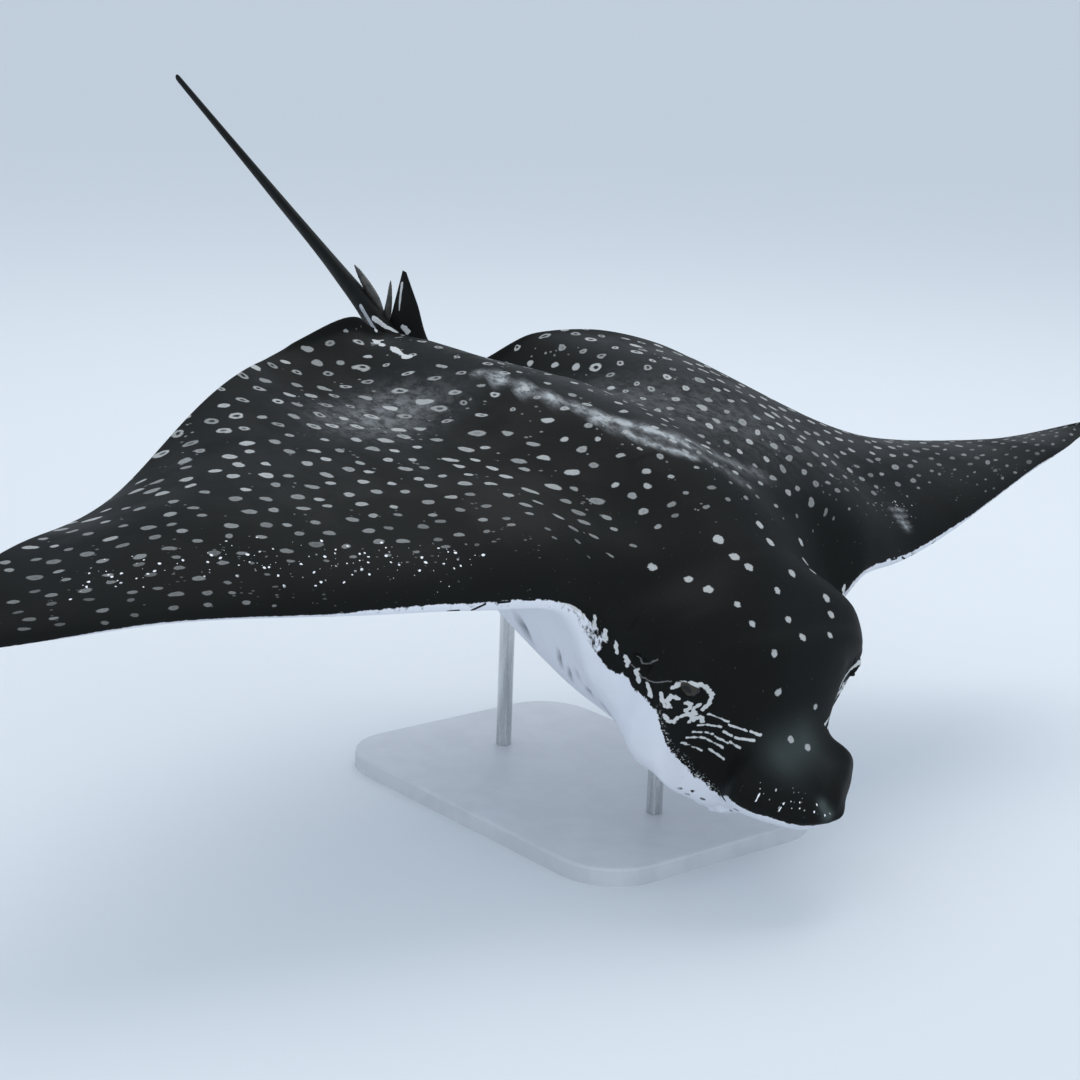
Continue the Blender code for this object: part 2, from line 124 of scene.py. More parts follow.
def ease(x, low, high):
    t = np.clip((x - low) / (high - low), 0, 1)
    return t * t * (3 - 2 * t)


def bump(x, width):
    return np.exp(-(x / width) ** 2)


def heights(x, y, t):
    """Top and bottom of the flat body at (x, y); t is 0 in the middle of a rib and 1 at its edge."""
    reach = np.abs(x)
    middle = curve(y, PROFILE_Y, EDGE)
    core = curve(y, CORE_Y, CORE_HALF_WIDTH)
    rounded = np.maximum(ease(-y, 0.135, 0.185), ease(y, 0.205, 0.226))
    shoulder = np.exp(-0.9 * (reach / core) ** 2.2) * np.sqrt(np.clip(1 - t ** 10, 0, 1))
    square = 2.2 + 0.8 * ease(-y, 0.14, 0.18) * (1 - ease(-y, 0.20, 0.235))
    dome = rounded * np.clip(1 - t ** square, 0, 1) ** (1 / square) + (1 - rounded) * shoulder
    leading = curve(reach, SPAN, LEADING)
    chord = np.clip((y - leading) / (curve(reach, SPAN, TRAILING) - leading), 0, 1)
    wing = curve(reach, SPAN, THICKNESS) / 2 * 2.6 * np.sqrt(chord) * (1 - chord)
    rim = EDGE_THICKNESS / 2 * np.sqrt(np.clip(1 - t ** 30, 0, 1))
    top = ((curve(y, PROFILE_Y, BACK) - middle) * dome) ** 3 + (1.1 * wing) ** 3 + rim ** 3
    bottom = ((middle - curve(y, PROFILE_Y, BELLY)) * dome) ** 3 + (0.9 * wing) ** 3 + rim ** 3
    return middle + np.cbrt(top), middle - np.cbrt(bottom)


def body_points(run, share, over):
    """Points of the flat ray: run along the outline from the snout, share of a rib, over or under."""
    half = curve(run, OUTLINE_RUN, OUTLINE_X)
    middle_y = curve(run, OUTLINE_RUN, RIB_Y)
    y = middle_y + (curve(run, OUTLINE_RUN, OUTLINE_Y) - middle_y) * share ** 2
    y = y + np.maximum(run - OUTLINE_RUN[-1], 0)
    in_tail = ease(y, 0.214, 0.234)
    blunt = np.clip((y - TAIL_END + 0.0026) / 0.0026, 0, 0.995)
    end = np.sqrt(1 - blunt ** 2)
    half = half + (curve(y, TAIL_Y, TAIL_HALF_WIDTH) * end - half) * in_tail
    x = half * share
    top, bottom = heights(x, y, np.abs(share))
    centre = curve(y, TAIL_Y, TAIL_HEIGHT)
    depth = curve(y, TAIL_Y, TAIL_HALF_DEPTH) * end * np.sqrt(np.clip(1 - share ** 2, 0, 1))
    top = top + (centre + depth - top) * in_tail
    bottom = bottom + (centre - depth - bottom) * in_tail
    return np.stack([x, y, np.where(over >= 0, top, bottom)], 1)


def rib_runs():
    """Where the ribs stand along the outline: close on the head, wider on the wings and tail."""
    runs = []
    for k in range(len(OUTLINE_RUN) - 1):
        step = WING_STEP if 10 <= k < 23 else HEAD_STEP
        length = OUTLINE_RUN[k + 1] - OUTLINE_RUN[k]
        count = int(np.ceil(length / step))
        runs += [OUTLINE_RUN[k] + length * (i + 1) / count for i in range(count)]
    tail_length = TAIL_END - OUTLINE_Y[-1]
    rows = int(tail_length / TAIL_STEP)
    runs += [OUTLINE_RUN[-1] + tail_length * (i + 1) / rows for i in range(rows - 1)]
    runs += [OUTLINE_RUN[-1] + tail_length - 0.0026 * (1 - s) for s in (0.3, 0.55, 0.75, 0.9, 1.0)]
    return runs


def body_grid():
    """The body as a closed grid in a bmesh, whose points carry their run, share and side of the rim."""
    bm = bmesh.new()
    run_layer, share_layer, over_layer = (bm.verts.layers.float.new(n) for n in ("run", "share", "over"))

    def point(run, share, over):
        vert = bm.verts.new((run, share, over))
        vert[run_layer] = run
        vert[share_layer] = share
        vert[over_layer] = over
        return vert

    q = np.linspace(1, 0, STEPS_TO_EDGE + 1)
    nose = point(0.0, 0.0, 1.0)
    before = None
    for run in rib_runs():
        wide = ease(curve(run, OUTLINE_RUN, OUTLINE_X), 0.08, 0.28)
        t = np.sin(q * np.pi / 2) * (1 - wide) + (1 - np.cos(q * np.pi)) / 2 * wide
        t = np.concatenate([t, -t[-2::-1]])
        sides = [0.0] + [1.0] * (len(t) - 2) + [0.0]
        row = [point(run, s, o) for s, o in zip(t, sides)]
        row += [point(run, s, -1.0) for s in t[-2:0:-1]]
        for k, vert in enumerate(row):
            after = row[(k + 1) % len(row)]
            if before is None:
                bm.faces.new((nose, after, vert))
            else:
                bm.faces.new((before[k], before[(k + 1) % len(row)], after, vert))
        before = row
    bm.faces.new(before)
    return bm, (run_layer, share_layer, over_layer)


def layer_values(bm, layers):
    return np.array([[vert[layer] for layer in layers] for vert in bm.verts]).T


def place_points(bm, points):
    for vert, place in zip(bm.verts, points):
        vert.co = place


skin_bm, skin_layers = body_grid()
place_points(skin_bm, body_points(*layer_values(skin_bm, skin_layers)))

# The eyes' and spiracles' places in the head. A ray's eye sits low on the side of its head, in a lid
# that is a firm ring of skin, and behind it opens the spiracle that it breathes in through. The shell
# is made finer round both, because their rims are only a few millimetres wide.
EYE_PLACE = (0.0692, -0.1945, -0.0035)
EYE_RADIUS = 0.0085
EYE_OUTWARD = np.array([0.86, -0.46, 0.16])
EYE_ALONG = np.array([0.46, 0.88, 0.02])
EYE_OPENING = (0.0060, 0.0033)
EYE_OPENING_DROP = 0.0006
LID_THICKNESS = 0.0007
SPIRACLE_PLACE = (0.0872, -0.1690, -0.0070)
SPIRACLE_OUTWARD = np.array([0.98, -0.18, 0.10])
SPIRACLE_ALONG = np.array([0.17, 0.95, 0.26])
SPIRACLE_SIZE = (0.0088, 0.0036)
SPIRACLE_DEPTH = 0.0060


def mirrored(vector, side):
    return np.asarray(vector, float) * (side, 1, 1)


def refine(bm, centre, radius, cuts):
    """Splits the faces near a point of the flat body, for detail finer than the ribs."""
    centre = Vector(centre)
    near = [face for face in bm.faces if (face.calc_center_median() - centre).length < radius]
    edges = {edge for face in near for edge in face.edges}
    bmesh.ops.subdivide_edges(bm, edges=list(edges), cuts=cuts, use_grid_fill=True)


for side in (1, -1):
    refine(skin_bm, mirrored(EYE_PLACE, side), 0.0155, 2)
    refine(skin_bm, mirrored(SPIRACLE_PLACE, side), 0.0125, 1)
place_points(skin_bm, body_points(*layer_values(skin_bm, skin_layers)))


def local_axes(outward, along, side):
    outward = mirrored(outward, side)
    outward = outward / np.linalg.norm(outward)
    along = mirrored(along, side)
    along = along - outward * (along @ outward)
    along = along / np.linalg.norm(along)
    upward = np.cross(outward, along) * -side
    return outward, along, upward * np.sign(upward[2])


def open_eye(points, side):
    """Sinks the eye's opening under the ball and draws the lid over the ball round it."""
    outward, along, upward = local_axes(EYE_OUTWARD, EYE_ALONG, side)
    offset = points - mirrored(EYE_PLACE, side)
    radius = np.linalg.norm(offset, axis=1)
    a, b = offset @ along, offset @ upward + EYE_OPENING_DROP
    ring = np.hypot(a / EYE_OPENING[0], b / np.where(b > 0, 0.9, 1.1) / EYE_OPENING[1])
    near = (offset @ outward > 0) & (radius < 0.03)
    lid = EYE_RADIUS + LID_THICKNESS + 0.0007 * bump(ring - 1.16, 0.16)
    raised = radius + np.maximum(lid - radius, 0) * (1 - ease(ring, 1.3, 2.5))
    brow = 0.0013 * bump(a, 0.012) * bump(b - 0.0085, 0.0040)
    outside = raised + brow * ease(ring, 1.2, 1.8)
    sunk = EYE_RADIUS * 0.86
    wanted = sunk + (outside - sunk) * ease(ring, 0.95, 1.05)
    moved = mirrored(EYE_PLACE, side) + offset * (wanted / np.maximum(radius, 1e-9))[:, None]
    return np.where(near[:, None], moved, points)


def open_spiracle(points, side):
    """Sinks a slanting oval behind the eye, with a raised rim."""
    outward, along, upward = local_axes(SPIRACLE_OUTWARD, SPIRACLE_ALONG, side)
    offset = points - mirrored(SPIRACLE_PLACE, side)
    a, b = offset @ along, offset @ upward
    narrow = 1 - 0.35 * np.clip(-a / SPIRACLE_SIZE[0], 0, 1)
    ring = np.hypot(a / SPIRACLE_SIZE[0], b / SPIRACLE_SIZE[1] / narrow)
    near = (offset @ outward > -0.012) & (np.linalg.norm(offset, axis=1) < 0.03)
    depth = -SPIRACLE_DEPTH * np.sqrt(np.clip(1 - ring ** 2, 0, 1)) + 0.0009 * bump(ring - 1.22, 0.28)
    return points + np.where(near, depth, 0)[:, None] * outward


# The mouth, nostrils and gills are under the head: a straight slit of a mouth behind a fringed flap of
# skin that hangs between two nostrils, and five pairs of short gill slits in two rows on the white
# belly. They are folds and cuts in the same skin.
MOUTH_Y = -0.2075
MOUTH_HALF_WIDTH = 0.031
NOSTRIL_PLACE = (0.0245, -0.2290)
GILL_PLACES = [(0.064, -0.1435), (0.068, -0.1225), (0.073, -0.1015), (0.080, -0.0805), (0.078, -0.0595)]
GILL_HALF_LENGTH = 0.0098
GILL_SLOPE = 0.95
GILL_BEND = 9.0
MIDDLE_SMOOTHINGS = 14
LOBE_RIM_WIDTH = 0.0085


def groove(across, width, depth, lip):
    """A furrow's height: down in the middle, with a lip on either side."""
    return -depth * bump(across, width) + lip * bump(np.abs(across) - 2.3 * width, width)


def mouth_reach(x):
    """How much a point is between the corners of the mouth."""
    return 1 - ease(np.abs(x), MOUTH_HALF_WIDTH - 0.006, MOUTH_HALF_WIDTH)


def gill_places(x, y):
    """For each pair of gill slits: how far across the slit a point is, and how much it is in its reach."""
    for gill_x, gill_y in GILL_PLACES:
        along = np.abs(x) - gill_x
        across = y - gill_y - GILL_SLOPE * along - GILL_BEND * along ** 2
        yield across, 1 - ease(np.abs(along), 0.6 * GILL_HALF_LENGTH, GILL_HALF_LENGTH)


def under_head(points):
    """How far the skin under the head moves along its normal."""
    x, y, _ = points.T
    mouth_line = y - MOUTH_Y - 4.0 * x ** 2
    mouth = groove(mouth_line, 0.0016, 0.0042, 0.0012) * mouth_reach(x)
    flap_back = y - MOUTH_Y + 0.0055 - 0.0006 * np.cos(x * 2400)
    flap = 0.0022 * (1 - ease(flap_back, -0.0012, 0.0004)) * ease(y, -0.2345, -0.2210)
    flap = flap * (1 - ease(np.abs(x), 0.0195, 0.0225))
    nostril_x = (np.abs(x) - NOSTRIL_PLACE[0]) / 0.0042
    nostril_y = (y - NOSTRIL_PLACE[1] + 0.25 * (np.abs(x) - NOSTRIL_PLACE[0])) / 0.0068
    ring = np.hypot(nostril_x, nostril_y)
    nostril = -0.0040 * (1 - ease(ring, 0.55, 1.05)) + 0.0009 * bump(ring - 1.25, 0.25)
    gills = 0
    for across, reach in gill_places(x, y):
        gills = gills + groove(across, 0.0012, 0.0026, 0.0010) * reach
    vent = groove(x, 0.0016, 0.0022, 0.0010) * bump(y - 0.186, 0.010)
    return mouth + flap + nostril + gills + vent


def on_top(points, run, share):
    """How far the upper skin moves along its normal: the bill's rolled rim, the back's muscle and folds."""
    x, y, z = points.T
    reach = np.abs(x)
    from_rim = (1 - np.abs(share)) * curve(run, OUTLINE_RUN, OUTLINE_X)
    rim_roll = 0.0013 * bump(from_rim - LOBE_RIM_WIDTH, 0.0045) * (1 - ease(run, 0.058, 0.078))
    dip = -0.0010 * bump(from_rim - 0.019, 0.008) * (1 - ease(run, 0.055, 0.075))
    spine = -0.0010 * bump(reach, 0.0075) + 0.0009 * bump(reach - 0.020, 0.010)
    spine = spine * ease(y, -0.12, -0.04) * (1 - ease(y, 0.15, 0.20))
    shoulder = 0.0014 * bump(reach - 0.074, 0.016) * ease(y, -0.15, -0.09) * (1 - ease(y, 0.04, 0.12))
    neck_fold = groove(y + 0.1510 + 0.35 * (reach - 0.090) - 4.0 * (z - 0.018) ** 2, 0.0013, 0.0008, 0.0005)
    neck_fold = neck_fold * bump(reach - 0.090, 0.009) * ease(z, 0.004, 0.010)
    return rim_roll + dip + spine + shoulder + neck_fold


def sculpted(bm, layers):
    """The flat skin with its folds, lids and openings."""
    run, share, over = layer_values(bm, layers)
    points = np.array([vert.co[:] for vert in bm.verts])
    bm.normal_update()
    normals = np.array([vert.normal[:] for vert in bm.verts])
    push = np.where(over >= 0, on_top(points, run, share), 0)
    push = push + np.where(over < 0, under_head(points), 0) * ease(-normals[:, 2], 0.3, 0.7)
    points = points + normals * push[:, None]
    for side in (1, -1):
        points = open_spiracle(open_eye(points, side), side)
    return points


flat_points = body_points(*layer_values(skin_bm, skin_layers))
bmesh.ops.recalc_face_normals(skin_bm, faces=skin_bm.faces)
place_points(skin_bm, sculpted(skin_bm, skin_layers))

# How the markings lie: every point of the skin carries where it is on the flat ray, how far it is from
# the leading edge in rows of spots, and how far it is over the line where dark back meets white belly.
BORDER_RUN = [0.0, 0.045, 0.075, 0.105, 0.125, 0.145, 0.165, 0.195, 0.250, 0.550, 0.780, 1.220]
BORDER_HEIGHT = [-0.004, -0.010, -0.021, -0.045, -0.036, -0.017, -0.019, 0.0, 0.001, 0.0, -0.014, -0.006]
ROW_DISTANCE = [0.0, 0.02, 0.05, 0.10, 0.16, 0.24, 0.40]
ROW_SPACING = [0.0085, 0.0098, 0.0122, 0.0155, 0.0185, 0.0215, 0.0230]
ACROSS_SPACING = 0.0182


def from_rim(run, share, over):
    """Distance of each point from the disc's edge along its rib: up the back, and down the belly negative."""
    finer = np.linspace(0, 1, 25)[:, None]
    shares = np.where(share < 0, -1, 1) * (1 - finer * (1 - np.abs(share)))
    rib = np.stack([body_points(run, s, over) for s in shares])
    steps = np.linalg.norm(np.diff(rib, axis=0)[..., [0, 2]], axis=2)
    return steps.sum(0) * np.where(over >= 0, 1, -1)


def spot_rows(points):
    """Place in the spots' own rows: they follow the leading edge, and are closest together along it."""
    x, y, _ = points.T
    grid = np.linspace(-0.15, 0.6, 301)
    spacing = np.interp(np.maximum(grid, 0), ROW_DISTANCE, ROW_SPACING)
    rows = np.concatenate([[0], np.cumsum(np.diff(grid) / spacing[1:])])
    behind = y - curve(np.abs(x), SPAN, LEADING)
    return np.stack([x / ACROSS_SPACING, np.interp(behind, grid, rows), np.clip(behind / 0.4, -1, 1)], 1)


def on_cheek(points, run):
    """Place on the side of the head: ahead of the eye, above the eye, and the run along the outline."""
    x, y, z = points.T
    return np.stack([0.72 * (0.0765 - np.abs(x)) + 0.70 * (-y - 0.198), z + 0.002, run], 1)


run, share, over_side = layer_values(skin_bm, skin_layers)
tail_dark = -0.05 * ease(flat_points[:, 1], 0.20, 0.25)
over_border = from_rim(run, share, over_side) - np.interp(run, BORDER_RUN, BORDER_HEIGHT) - tail_dark


def near_line(points, line, width):
    """A soft mask round a line of flat points, which may be given without their height."""
    line = np.array(line, float)
    places = points[:, :line.shape[1]]
    mask = np.zeros(len(points))
    for start, end in zip(line, line[1:]):
        whole = end - start
        share = np.clip((places - start) @ whole / (whole @ whole), 0, 1)
        mask = np.maximum(mask, bump(np.linalg.norm(places - start - share[:, None] * whole, axis=1), width))
    return mask


def soft_marks(points):
    """Soft areas of the skin: pale patches and painted sheen on the back, painted sheen in the bill's dip
    with a grey patch at its tip, and the pale marks of the tail root and fins.
    """
    above = ease(points[:, 2], -0.01, 0.01)
    # A pale mottled patch at the right wing's root.
    patch = near_line(points, [(-0.134, 0.085), (-0.100, 0.093)], 0.028) * 0.68
    # Painted sheen: a bright streak along the crest of the back and its fork, and a grey haze beside them and
    # over the left wing's root, where the wet skin catches the light from above.
    part_way = np.linspace(0, 1, 7)
    crest = [(-0.038 + 0.056 * t ** 2, 0.090 - 0.143 * t) for t in part_way]
    crest = near_line(points, crest, 0.0034) * 2.6
    fork = [(-0.020, -0.004), (-0.0145, -0.025), (-0.007, -0.0425), (0.007, -0.065)]
    crest = np.maximum(crest, near_line(points, fork, 0.0030) * 2.0)
    haze = near_line(points, [(0.000, -0.030), (0.065, -0.072)], 0.0090) * 0.58
    haze = np.maximum(haze, near_line(points, [(-0.016, -0.020), (0.036, -0.088)], 0.0060) * 0.5)
    root = near_line(points, [(0.060, 0.060), (0.110, -0.010)], 0.045) * 0.28
    # A pale streak on the far wing.
    far_wing_pale_streak = near_line(points, [(0.1990, -0.1060), (0.1985, -0.1000), (0.2010, -0.0940)], 0.0032) * 1.6
    pale_patch_and_sheen = np.maximum.reduce([patch, crest, haze, root, far_wing_pale_streak]) * above
    # Painted sheen: a paler grey-green in the dip between head and bill, where the skin faces up; and a grey
    # patch at the bill's tip.
    bill = near_line(points, [(-0.016, -0.243, -0.026), (0.004, -0.237, -0.024)], 0.0150) * 0.8
    bill_tip = near_line(points, [(-0.003, -0.276, -0.0395), (-0.001, -0.280, -0.043)], 0.0045)
    bill = np.maximum(bill, bill_tip * 1.2)
    marks = [
        ([(-0.012, 0.254, 0.012), (-0.013, 0.240, 0.016), (-0.010, 0.230, 0.021)], 0.0030),
        ([(-0.002, 0.2225, 0.0275), (-0.002, 0.2320, 0.0270)], 0.0030),
        ([(-0.001, 0.2530, 0.0510), (-0.001, 0.2440, 0.0330)], 0.0016),
        ([(0.012, 0.250, 0.012), (0.011, 0.236, 0.018)], 0.0028),
        (
            [
                (-0.0535, 0.1725, 0.017), (-0.0545, 0.158, 0.0215),
                (-0.0555, 0.1495, 0.024), (-0.060, 0.1395, 0.025),
            ],
            0.0021,
        ),
        ([(-0.050, 0.193, 0.011), (-0.055, 0.177, 0.0145)], 0.0028),
        ([(-0.0405, 0.213, 0.0115), (-0.047, 0.1845, 0.0155)], 0.0018),
    ]
    drawn = np.maximum.reduce([near_line(points, line, width) for line, width in marks])
    return np.stack([pale_patch_and_sheen, bill, drawn], 1)


def slit_shade(points):
    """Painted shade: where the gill slits and the mouth are darkened in the skin's colour, for the shade
    inside them.
    """
    x, y, z = points.T
    slits = bump(y - MOUTH_Y - 4.0 * x ** 2, 0.0017) * mouth_reach(x)
    for across, reach in gill_places(x, y):
        slits = np.maximum(slits, bump(across, 0.0019) * reach)
    return slits * (1 - ease(z, -0.02, -0.01))


def glint_area(points):
    """Where painted glints go, white highlights of the wet skin: the near side of the bill's rim and the
    right wing's leading part, with a little on the far wing.
    """
    rim = [
        (-0.040, -0.256, -0.0415), (-0.033, -0.262, -0.0415),
        (-0.022, -0.270, -0.0405), (-0.006, -0.277, -0.0415),
    ]
    rim = near_line(points, rim, 0.0075) * 1.3
    wing = near_line(points, [(-0.325, -0.046), (-0.279, -0.065), (-0.230, -0.086), (-0.190, -0.101)], 0.018)
    wing = np.maximum(wing, near_line(points, [(-0.400, -0.020), (-0.325, -0.046)], 0.018) * 0.8)
    wing = np.maximum(wing, near_line(points, [(0.186, -0.098), (0.205, -0.092)], 0.013) * 0.9)
    return np.maximum(rim, wing * ease(points[:, 2], -0.01, 0.005))


skin_marks = {
    "plan": flat_points,
    "rows": spot_rows(flat_points),
    "cheek": on_cheek(flat_points, run),
    "over_border": over_border,
}

# The fins at the tail root: one small upright fin on the back, and a pelvic fin on each side. They are
# thin blades of the same skin, which thicken where they grow out of the body.
DORSAL_FIN = (
    ((0, 0.1880, 0.0300), (0, 0.2470, 0.0120)),
    ((0, 0.2558, 0.0597), (0, 0.2590, 0.0585)),
    0.0030,
)
PELVIC_FIN_LEFT = (
    ((0.012, 0.205, 0.001), (0.011, 0.242, 0.001)),
    ((0.035, 0.248, 0.008), (0.028, 0.259, 0.008)),
    0.0034,
)
PELVIC_FIN_RIGHT = (
    ((-0.012, 0.205, 0.001), (-0.011, 0.242, 0.001)),
    ((-0.032, 0.248, 0.010), (-0.025, 0.259, 0.010)),
    0.0034,
)
FIN_ROWS = 26
FIN_STEPS = 14


def fin_loops(root, tip, half_thickness, sweep=1.6):
    """Lens sections of a fin from root to tip, and how far each point is from the fin's free edge."""
    loops = []
    edge_distance = []
    share = (1 - np.cos(np.linspace(0, np.pi, FIN_STEPS + 1))) / 2
    bulge = np.sin(np.linspace(0, np.pi, FIN_STEPS + 1)) ** 0.7
    for h in 1 - (1 - np.linspace(0, 1, FIN_ROWS + 1)) ** 1.35:
        front = np.array(root[0]) * (1 - h) + np.array(tip[0]) * h
        back = np.array(root[1]) * (1 - h ** sweep) + np.array(tip[1]) * h ** sweep
        chord = back - front
        up = np.array(tip[0]) - np.array(root[0])
        side = np.cross(chord, up)
        flare = 1 - 0.55 * h + 1.1 * np.exp(-h / 0.10)
        side = side / np.linalg.norm(side) * half_thickness * flare
        over = front + share[:, None] * chord + bulge[:, None] * side
        under = (front + share[:, None] * chord - bulge[:, None] * side)[-2:0:-1]
        loops.append(np.concatenate([over, under]))
        length = np.linalg.norm(chord)
        to_edge = np.minimum(np.minimum(share, 1 - share) * length, (1 - h) * np.linalg.norm(up))
        edge_distance.append(np.concatenate([to_edge, to_edge[-2:0:-1]]))
    return np.array(loops), np.array(edge_distance)


def add_fin(bm, loops):
    rows = [[bm.verts.new(point) for point in loop] for loop in loops]
    count = len(rows[0])
    made = []
    for near, far in zip(rows, rows[1:]):
        for k in range(count):
            made.append(bm.faces.new((near[k], near[(k + 1) % count], far[(k + 1) % count], far[k])))
    made.append(bm.faces.new(rows[0]))
    made.append(bm.faces.new(rows[-1]))
    bmesh.ops.recalc_face_normals(bm, faces=made)


FINS = {"dorsal": DORSAL_FIN, "left": PELVIC_FIN_LEFT, "right": PELVIC_FIN_RIGHT}
for fin_name, fin_shape in FINS.items():
    loops, edge_distance = fin_loops(*fin_shape)
    add_fin(skin_bm, loops)
    fin_points = loops.reshape(-1, 3)
    margin = 0.0022 if fin_name != "dorsal" else 0.0
    skin_marks["plan"] = np.concatenate([skin_marks["plan"], fin_points])
    skin_marks["rows"] = np.concatenate([skin_marks["rows"], fin_points / 0.010 + 40])
    skin_marks["cheek"] = np.concatenate([skin_marks["cheek"], fin_points * 0 + 1])
    fin_border = edge_distance.reshape(-1) - margin + (0.02 if fin_name == "dorsal" else 0)
    skin_marks["over_border"] = np.concatenate([skin_marks["over_border"], fin_border])
skin_marks["soft_marks"] = soft_marks(skin_marks["plan"])
skin_marks["glint_area"] = glint_area(skin_marks["plan"])
skin_marks["slits"] = slit_shade(skin_marks["plan"])

# How the ray is held: each wing lifted, twisted and curled by its own amounts along its span, the back
# arched, the tail carried up, and the whole ray nosed down and banked a little to its left.
NECK_CUT = -0.156
STATIONS = [0.0, 0.06, 0.12, 0.20, 0.30, 0.40, 0.50]
WING_POSE = {
    "left": {
        "lift": [0.0, 0.0055, 0.033, 0.0255, 0.027, 0.0375, 0.0475],
        "twist": [0.0, -2.8, 2.6, 2.9, -11.1, -21.7, -30.8],
        "curl": [0.0, -0.0045, -0.012, 0.0085, -0.004, -0.002, 0.006],
    },
    "right": {
        "lift": [0.0, -0.0075, 0.0075, 0.006, 0.0, -0.0275, -0.0595],
        "twist": [0.0, 1.1, -9.6, -5.7, 3.1, -5.7, -3.8],
        "curl": [0.0, 0.0365, 0.053, 0.0295, -0.036, 0.0025, 0.014],
    },
}
ARCH = 0.344
TAIL_PITCH_UP = 22.0
TAIL_TURN_LEFT = -2.3


def wing_pose(x, y, z, side):
    """Lift, twist and curl of one wing, which fade out toward the head but not along the leading edge."""
    reach = np.abs(x)
    pose_of = WING_POSE[side]
    hold = 1 - ease(-y, 0.085, -NECK_CUT - 0.001) * (1 - ease(reach, 0.09, 0.14))
    grid = np.linspace(0, STATIONS[-1], 201)
    slope = np.gradient(curve(grid, STATIONS, pose_of["lift"]), grid)
    across = np.concatenate([[0], np.cumsum(np.sqrt(1 - slope[1:] ** 2) * np.diff(grid))])
    twist = np.radians(curve(reach, STATIONS, pose_of["twist"])) * hold
    leading = curve(reach, SPAN, LEADING)
    trailing = curve(reach, SPAN, TRAILING)
    axis = 0.7 * leading + 0.3 * trailing
    behind = y - axis
    curl = np.clip(behind / (trailing - axis), 0, 1) ** 2 * curve(reach, STATIONS, pose_of["curl"])
    rise = curve(reach, STATIONS, pose_of["lift"]) * hold + behind * np.sin(twist) + curl
    return (
        np.sign(x) * np.interp(reach, grid, across),
        axis + behind * np.cos(twist) - z * np.sin(twist),
        rise + z * np.cos(twist),
    )


def pose(points):
    """Flat points, in disc widths, taken to the posed ray in metres."""
    x, y, z = np.asarray(points, float).T
    left = wing_pose(x, y, z, "left")
    right = wing_pose(x, y, z, "right")
    x, y, z = (np.where(x >= 0, a, b) for a, b in zip(left, right))
    x = x + np.tan(np.radians(TAIL_TURN_LEFT)) * np.maximum(y - TAIL_CUT, 0)
    along_back = np.linspace(-0.4, 0.8, 1201)
    bent = np.arctan(2 * ARCH * np.minimum(along_back, TAIL_CUT - 0.02))
    pitch = -bent + np.radians(TAIL_PITCH_UP) * ease(along_back, 0.18, 0.235)
    along = np.concatenate([[0], np.cumsum(np.cos(pitch[1:]) * np.diff(along_back))])
    above = np.concatenate([[0], np.cumsum(np.sin(pitch[1:]) * np.diff(along_back))])
    start = int(np.argmin(np.abs(along_back)))
    angle = np.interp(y, along_back, pitch)
    spine_y = np.interp(y, along_back, along - along[start]) - z * np.sin(angle)
    spine_z = np.interp(y, along_back, above - above[start]) + z * np.cos(angle)
    ray = np.stack([x, spine_y, spine_z], 1) * DISC_WIDTH
    nod = Matrix.Rotation(np.radians(NOSE_DOWN), 3, "X")
    tilt = nod @ Matrix.Rotation(np.radians(LEFT_WING_DOWN), 3, "Y")
    return ray @ np.array(tilt).T + np.array([0, 0, RIDE_HEIGHT])


def linked(name, mesh, material):
    made = bpy.data.objects.new(name, mesh)
    bpy.context.scene.collection.objects.link(made)
    mesh.materials.append(material)
    return made


for layer_name in ("run", "share", "over"):
    skin_bm.verts.layers.float.remove(skin_bm.verts.layers.float[layer_name])
place_points(skin_bm, pose(np.array([vert.co[:] for vert in skin_bm.verts])))
middle = [
    vert for vert, (x, y, _) in zip(skin_bm.verts, flat_points) if abs(x) < 0.022 and -0.15 < y < 0.20
]
for _ in range(MIDDLE_SMOOTHINGS):
    bmesh.ops.smooth_vert(
        skin_bm, verts=middle, factor=0.5, use_axis_x=True, use_axis_y=True, use_axis_z=True
    )
skin_mesh = bpy.data.meshes.new("ray_skin")
skin_bm.to_mesh(skin_mesh)
skin_bm.free()
skin_mesh.shade_smooth()
for mark_name, mark_values in skin_marks.items():
    mark_kind, mark_field = ("FLOAT_VECTOR", "vector") if mark_values.ndim == 2 else ("FLOAT", "value")
    mark = skin_mesh.attributes.new(mark_name, mark_kind, "POINT")
    mark.data.foreach_set(mark_field, np.ascontiguousarray(mark_values, np.float32).reshape(-1))

# The skin's look: smooth, wet and scaleless, near black above and chalk white below. The back carries
# pale spots in rows, which turn to rings along the trailing edges and to short dashes along the leading
# ones, and the cheeks carry a maze of pale lines that runs out into streaks toward the bill.
BACK_DARK = (0.0102, 0.0106, 0.0104, 1)
BACK_GREY = (0.0130, 0.0144, 0.0140, 1)
SPOT_PALE = (0.46, 0.47, 0.46, 1)
BELLY_WHITE = (0.78, 0.80, 0.86, 1)
BELLY_SHADE = (0.56, 0.60, 0.68, 1)
BILL_GREY = (0.058, 0.072, 0.069, 1)
PATCH_AND_SHEEN_GREY = (0.42, 0.44, 0.45, 1)
SPOT_SHADE = (0.20, 0.21, 0.21, 1)
LINE_PALE = (0.60, 0.61, 0.61, 1)
GLINT_WHITE = (0.90, 0.91, 0.92, 1)
DUSKY = (0.10, 0.11, 0.13, 1)
MARK_SEED = 7
HEAD_SPOT_ROWS = 8
HEAD_SPOT_ROW_STEP = 0.0158
BILL_Y = -0.238
EYE_RING_CENTRE = (5.0, -8.0)
EYE_RING_RADII = (13.0, 11.0)
MAZE_ROWS = 2
HOOKS_PER_ROW = 3
HOOK_FIRST = (-3.0, -15.0)
HOOK_STEP = (8.0, -8.5)
HOOK_RADIUS = (3.2, 4.6)
FLECKS = 7
